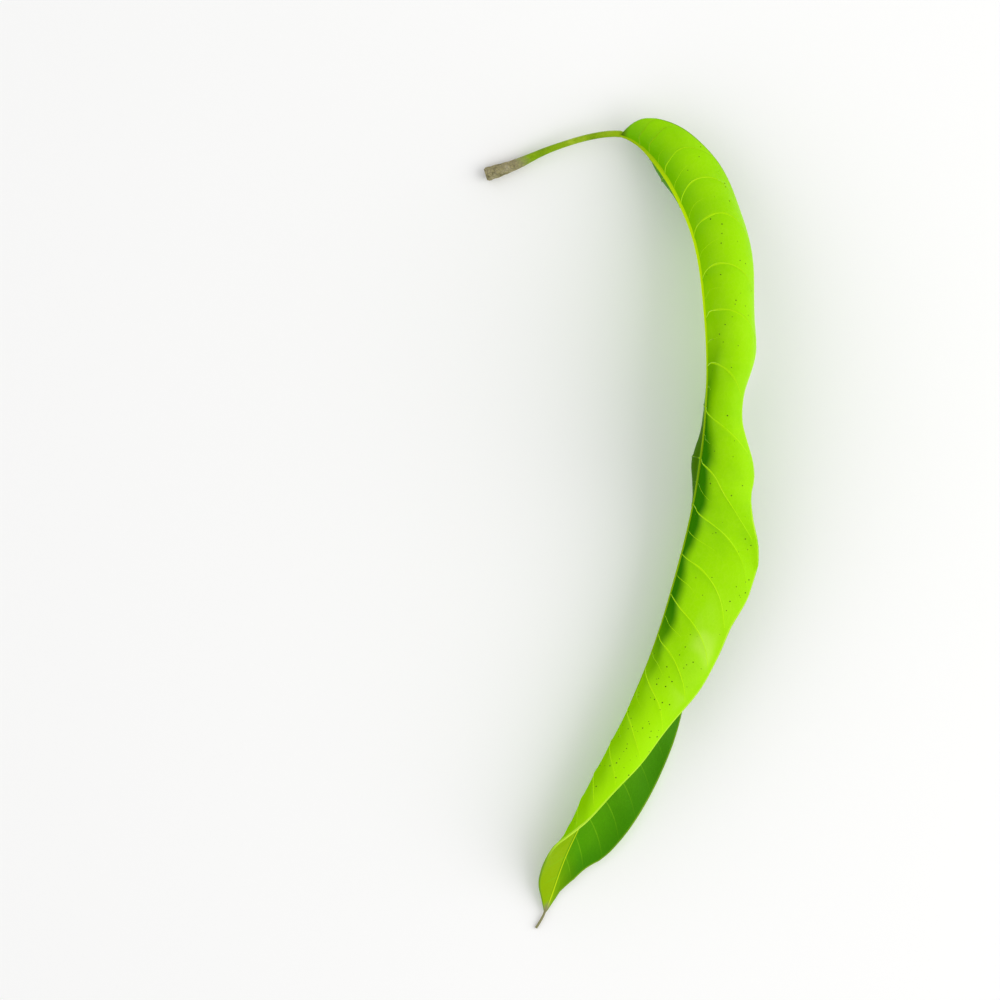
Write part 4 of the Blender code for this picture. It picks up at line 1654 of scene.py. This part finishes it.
    def blade_rings(self) -> None:
        """Adds the blade with its midrib, from the near margin to the far margin."""
        rows = self.rows()
        row, u = np.meshgrid(rows, self.u, indexing="ij")
        halves = [self.form.lamina(row, u, half) for half in (Half.NEAR, Half.FAR)]
        thick = self.form.thickness(u)[..., None] / 2
        for i, share in enumerate(rows):
            _, _, away = self.form.rib_directions(share)
            depth = Curves.smooth(self.sizes.rib_shares, self.sizes.rib_depth, share)
            rise = Curves.smooth(self.sizes.rib_shares, self.sizes.rib_rise, share)
            core = not 0 < share < 1
            lanes = self.u[:1] if core else self.u
            for skin, sign, bulge in ((Skin.UPPER, 1, rise), (Skin.LOWER, -1, depth)):
                edges = [place[i] + sign * facing[i] * thick[i] for place, facing in halves]
                middle = self.arc(edges[0][0], edges[1][0], -sign * away, bulge)
                near, far = (edge[:len(lanes)] for edge in edges)
                places = np.concatenate([near[::-1], middle, far])
                near, far = (facing[i][:len(lanes)] for _, facing in halves)
                looks = sign * np.concatenate([near[::-1], [-away] * len(middle), far])
                self.keep(skin, places, looks, core, self.ring_fields(skin, share, lanes, looks))

    def lay_out(self) -> None:
        """Lays out all rings from foot to tip."""
        s = self.sizes
        distances = np.linspace(0, self.line.blade_start, self.fine.stalk_rows + 1)[:-1]
        fade = np.clip(1 - distances / s.wrinkled_length, 0, 1)
        wrinkle = s.wrinkle_share * fade * np.sin(2 * np.pi * distances / s.wrinkle_pitch)
        radii = Curves.smooth(s.stalk_at, s.stalk_radius, distances) * (1 + wrinkle)
        self.core_rings(0.0, distances, radii)
        self.blade_rings()
        steps = np.arange(1, self.fine.tip_rows + 1) / self.fine.tip_rows
        distances = self.line.blade_end + (self.line.end - self.line.blade_end) * steps
        self.core_rings(1.0, distances, np.full(len(distances), s.rib_half_width[-1]))

    @staticmethod
    def corners(ring: tuple[int, ...], flip: bool) -> list[list[int]]:
        """Drops repeated corners of one face.

        Args:
            ring: Numbers of the face's points.
            flip: Whether its order turns round.

        Returns:
            The face in a list, or an empty list where it has no area.
        """
        kept = list(dict.fromkeys(ring))
        if len(kept) < 3:
            return []
        return [kept[::-1] if flip else kept]

    def faces(self) -> list[list[int]]:
        """Joins the rings.

        Returns:
            The faces as lists of point numbers.
        """
        made: list[list[int]] = []
        upper, lower = (np.array(side).tolist() for side in self.index)
        last = len(upper[0]) - 1
        for i in range(len(upper) - 1):
            for j in range(last):
                for side, flip in ((upper, False), (lower, True)):
                    ring = (side[i][j], side[i + 1][j], side[i + 1][j + 1], side[i][j + 1])
                    made += self.corners(ring, flip)
            for j, flip in ((0, True), (last, False)):
                made += self.corners((upper[i][j], upper[i + 1][j], lower[i + 1][j], lower[i][j]), flip)
        outer = self.fine.columns - 1
        for i, flip in ((0, True), (len(upper) - 1, False)):
            for j in range(outer, last - outer):
                made += self.corners((upper[i][j], upper[i][j + 1], lower[i][j + 1], lower[i][j]), flip)
        return made

    def build(self, shift: Array) -> Any:
        """Builds the finished piece.

        Args:
            shift: What moves the form onto the plain leaf.

        Returns:
            The piece.
        """
        points = np.concatenate(self.points) + shift
        points[:, 2] = np.maximum(points[:, 2], 0.0)
        fields = {key: np.concatenate(kept) for key, kept in self.values.items()}
        fields["facing"] = np.concatenate(self.facing)
        carrier = Pieces.carrier("leaf_carrier", points, [], self.faces(), fields)
        piece = Pieces.grow(carrier, "leaf_blade", ReliefTree().build(),
                            {"Ridge Height": self.veins.raised * MM,
                             "Ridge Width": self.veins.ridge_width, "Pucker": self.sizes.pucker * MM,
                             "Blade Material": BladeFinish().build(),
                             "Stalk Material": StalkFinish().build()})
        Pieces.hand_over(piece, replaces=True)
        return piece


class Cords:
    """Base of the cords on the blade: gathers their paths and grows them into one piece."""

    def __init__(self, body: LeafBody) -> None:
        """Keeps the leaf.

        Args:
            body: The fine leaf.
        """
        self.body = body
        self.points: list[Array] = []
        self.radii: list[Array] = []
        self.tones: list[Array] = []
        self.edges: list[tuple[int, int]] = []
        self.count = 0

    def lay(self, path: Array, radius: Array, tone: Array) -> None:
        """Adds one cord, kept above the floor.

        Args:
            path: Its points.
            radius: Its radius at each of them.
            tone: 0 where it is pale to 1 where it is dim.
        """
        path[:, 2] = np.maximum(path[:, 2], radius)
        self.points.append(path)
        self.radii.append(radius * MM)
        self.tones.append(tone)
        self.edges += [(self.count + i, self.count + i + 1) for i in range(len(path) - 1)]
        self.count += len(path)

    def grow(self, name: str, sides: int, finish: CordFinish) -> Any:
        """Grows the gathered cords.

        Args:
            name: The finished piece's name.
            sides: How many sides a cord has.
            finish: What it is dressed in.

        Returns:
            The piece.
        """
        carrier = Pieces.carrier(name + "_carrier", np.concatenate(self.points), self.edges, [],
                                 {"cord_radius": np.concatenate(self.radii),
                                  "cord_tone": np.concatenate(self.tones)})
        piece = Pieces.grow(carrier, name, CordTree().build(),
                            {"Thickness": 1.0, "Sides": sides, "Material": finish.build()})
        Pieces.hand_over(piece)
        return piece


class SideVeins(Cords):
    """Raised side veins on the lower face, as tapering cords half sunk in it."""

    def paths(self) -> list[tuple[float, float, float, Order]]:
        """Lists the veins.

        Returns:
            For each, its row, where it ends as a share of the half width, its radius and order.
        """
        v = self.body.veins
        rows = self.body.sizes.side_veins
        listed = [(row, v.main_end, v.main_radius * (1 - v.thinning * row), Order.MAIN) for row in rows]
        for a, b in zip(rows[1:], rows[2:-3]):
            listed.append((a + v.minor_place * (b - a), v.minor_end, v.minor_radius, Order.MINOR))
        return listed

    def tone(self, row: float, u: Array, half: Half) -> Array:
        """Says where a vein is dim: near the stalk, near the margin and on the far half, most where the
        far half is painted in shade.

        Args:
            row: Share of the blade's length at the midrib.
            u: Shares of the half width.
            half: Which half.

        Returns:
            0 where the vein is pale to 1 where it is dim.
        """
        v = self.body.veins
        place = np.array(row)
        if half is Half.FAR:
            # The veins darken with the painted shade on the far half's bulge and on its strip near the
            # stalk.
            bulge = Curves.ramp(place, *v.bulge_rise) * (1 - Curves.ramp(place, *v.bulge_fall))
            strip = v.strip_tone * (1 - Curves.ramp(place, *v.strip_fall))
            dim = (1 - v.far_tone) * np.maximum(bulge * (u < v.bulge_width), strip)
            return (v.far_tone + dim) * Curves.ramp(u, *v.far_root)
        stalk_end = v.stalk_end_tone * (1 - Curves.ramp(place, *v.stalk_end))
        outer = v.outer_tone * (1 - Curves.ramp(place, *v.outer_along))
        return np.maximum(stalk_end, outer * Curves.ramp(u, *v.outer_across))

    def build(self, shift: Array) -> Any:
        """Builds the finished piece.

        Args:
            shift: What moves the form onto the plain leaf.

        Returns:
            The piece.
        """
        v = self.body.veins
        form = self.body.form
        for row, end, radius, order in self.paths():
            for half in Half:
                u = np.linspace(0.0, end, self.body.fine.vein_points)
                wander = v.wander * np.sin(v.wander_turns * u + v.wander_change * row)
                wander = wander * Curves.ramp(u, *v.wander_start)
                place, facing = form.lamina(row + wander, u, half)
                raised = v.raised * (1 - v.flattening * row) if order is Order.MAIN else 0.0
                start = v.start_share + (1 - v.start_share) * Curves.ramp(u, *v.start_over)
                taper = radius * (1 - v.taper * u / end) * start
                depth = form.thickness(u) / 2 + raised * Curves.ramp(1 - u, *v.raised_end) - v.sunk * taper
                self.lay(place - facing * depth[:, None] + shift, taper, self.tone(row, u, half))
        return self.grow("side_veins", v.sides, CordFinish())


class MarginBead(Cords):
    """The pale, slightly thickened margin of both halves."""

    PLACE = 0.99
    RADIUS = 0.36
    ENDS: Span = (-0.02, 0.04)
    STALK_END: Span = (0.05, 0.14)
    TIP_END: Span = (0.86, 0.91)
    END_TONE = 0.7
    FAR_TONE = 0.75
    SIDES = 10

    def build(self, shift: Array) -> Any:
        """Builds the finished piece.

        Args:
            shift: What moves the form onto the plain leaf.

        Returns:
            The piece.
        """
        rows = self.body.rows()[1:-1]
        radius = self.RADIUS * Curves.ramp(np.minimum(rows, 1 - rows), *self.ENDS)
        ends = np.maximum(1 - Curves.ramp(rows, *self.STALK_END), Curves.ramp(rows, *self.TIP_END))
        for half in Half:
            place, _ = self.body.form.lamina(rows, np.full(len(rows), self.PLACE), half)
            least = 0.0 if half is Half.NEAR else self.FAR_TONE
            self.lay(place + shift, radius, np.maximum(self.END_TONE * ends, least))
        finish = CordFinish(name="leaf_margin", color=(0.50, 0.82, 0.040), dark=(0.38, 0.70, 0.01),
                            pale=(0.62, 0.88, 0.09), dim=(0.070, 0.190, 0.001), roughness=0.45)
        return self.grow("leaf_margin", self.SIDES, finish)


class Specks:
    """Dark specks scattered over the lower face, crowded where the near half is widest."""

    def __init__(self, blade: Any) -> None:
        """Keeps the blade.

        Args:
            blade: The finished blade.
        """
        self.blade = blade

    def build(self) -> Any:
        """Builds the finished piece.

        Returns:
            The piece.
        """
        carrier = bpy.data.objects.new("speck_carrier", self.blade.data.copy())
        bpy.context.scene.collection.objects.link(carrier)
        carrier.data.materials.clear()
        piece = Pieces.grow(carrier, "leaf_specks", SpeckTree().build(),
                            {"Density": 16000.0, "Smallest": 0.00010, "Largest": 0.00026,
                             "Flatness": 0.28, "Seed": 11, "Material": SpeckFinish().build()})
        Pieces.hand_over(piece)
        return piece


@dataclass(frozen=True)
class Studio:
    """Floor, soft light and the camera that looks straight down."""

    frame_width: float = 0.302
    centre_x: float = -0.0359
    centre_y: float = 0.0076
    focus_height: float = 0.015
    camera_height: float = 5.0
    sensor: float = 36.0
    floor_size: float = 30.0
    floor_drop: float = 0.0002
    key_place: Place = (1.25, -0.10, 0.95)
    key_power: float = 13.5
    key_size: float = 1.5
    key_color: Color = (1.0, 0.99, 0.96)
    fill_place: Place = (-0.9, 0.5, 1.3)
    fill_power: float = 1.0
    fill_size: float = 1.2
    fill_color: Color = (0.96, 0.98, 1.0)
    sky: Color = (1.0, 1.0, 1.0)
    sky_strength: float = 0.76

    def floor(self) -> None:
        """Makes the floor."""
        half = self.floor_size / 2
        z = -self.floor_drop
        mesh = bpy.data.meshes.new("floor")
        mesh.from_pydata([(-half, -half, z), (half, -half, z), (half, half, z), (-half, half, z)],
                         [], [(0, 1, 2, 3)])
        mesh.materials.append(FloorFinish().build())
        made = bpy.data.objects.new("floor", mesh)
        bpy.context.scene.collection.objects.link(made)

    def light(self, name: str, place: Place, size: float, power: float, color: Color) -> None:
        """Makes a soft square light that looks at the leaf.

        Args:
            name: Its name.
            place: Where it hangs.
            size: Its side.
            power: Its power in watts.
            color: Its colour.
        """
        data = bpy.data.lights.new(name, "AREA")
        data.size = size
        data.energy = power
        data.color = color
        made = bpy.data.objects.new(name, data)
        made.location = place
        made.rotation_euler = (-Vector(place)).to_track_quat("-Z", "Y").to_euler()
        made.visible_camera = False
        bpy.context.scene.collection.objects.link(made)

    def build(self, shift: Array) -> None:
        """Makes floor, lights, sky and camera.

        Args:
            shift: What moves the form onto the plain leaf.
        """
        self.floor()
        self.light("key", self.key_place, self.key_size, self.key_power, self.key_color)
        self.light("fill", self.fill_place, self.fill_size, self.fill_power, self.fill_color)
        scene = bpy.context.scene
        world = bpy.data.worlds.new("studio")
        world.use_nodes = True
        back = world.node_tree.nodes["Background"]
        back.inputs["Color"].default_value = solid(self.sky)
        back.inputs["Strength"].default_value = self.sky_strength
        scene.world = world
        scene.view_settings.view_transform = "Standard"
        data = bpy.data.cameras.new("camera")
        data.sensor_width = self.sensor
        distance = self.camera_height - self.focus_height
        data.lens = self.sensor * distance / self.frame_width
        data.clip_end = 100.0
        made = bpy.data.objects.new("camera", data)
        made.location = (self.centre_x + shift[0] * MM, self.centre_y + shift[1] * MM,
                         self.camera_height)
        scene.collection.objects.link(made)
        scene.camera = made


def main() -> None:
    """Builds the leaf and the studio."""
    logging.basicConfig(level=logging.INFO, format="%(name)s %(message)s")
    sizes = LeafSizes()
    fineness = Fineness()
    form = BladeForm(sizes, MiddleLine(sizes, fineness.path_samples))
    body = LeafBody(sizes, fineness, form)
    low, high = (np.array(corner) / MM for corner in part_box(NODE))
    points = np.concatenate(body.points)
    shift = (low + high) / 2 - (points.min(0) + points.max(0)) / 2
    shift[2] = 0.0
    blade = body.build(shift)
    SideVeins(body).build(shift)
    MarginBead(body).build(shift)
    Specks(blade).build()
    Studio().build(shift)
    log.info("shift %s", shift.round(3))


if __name__ == "__main__":
    main()
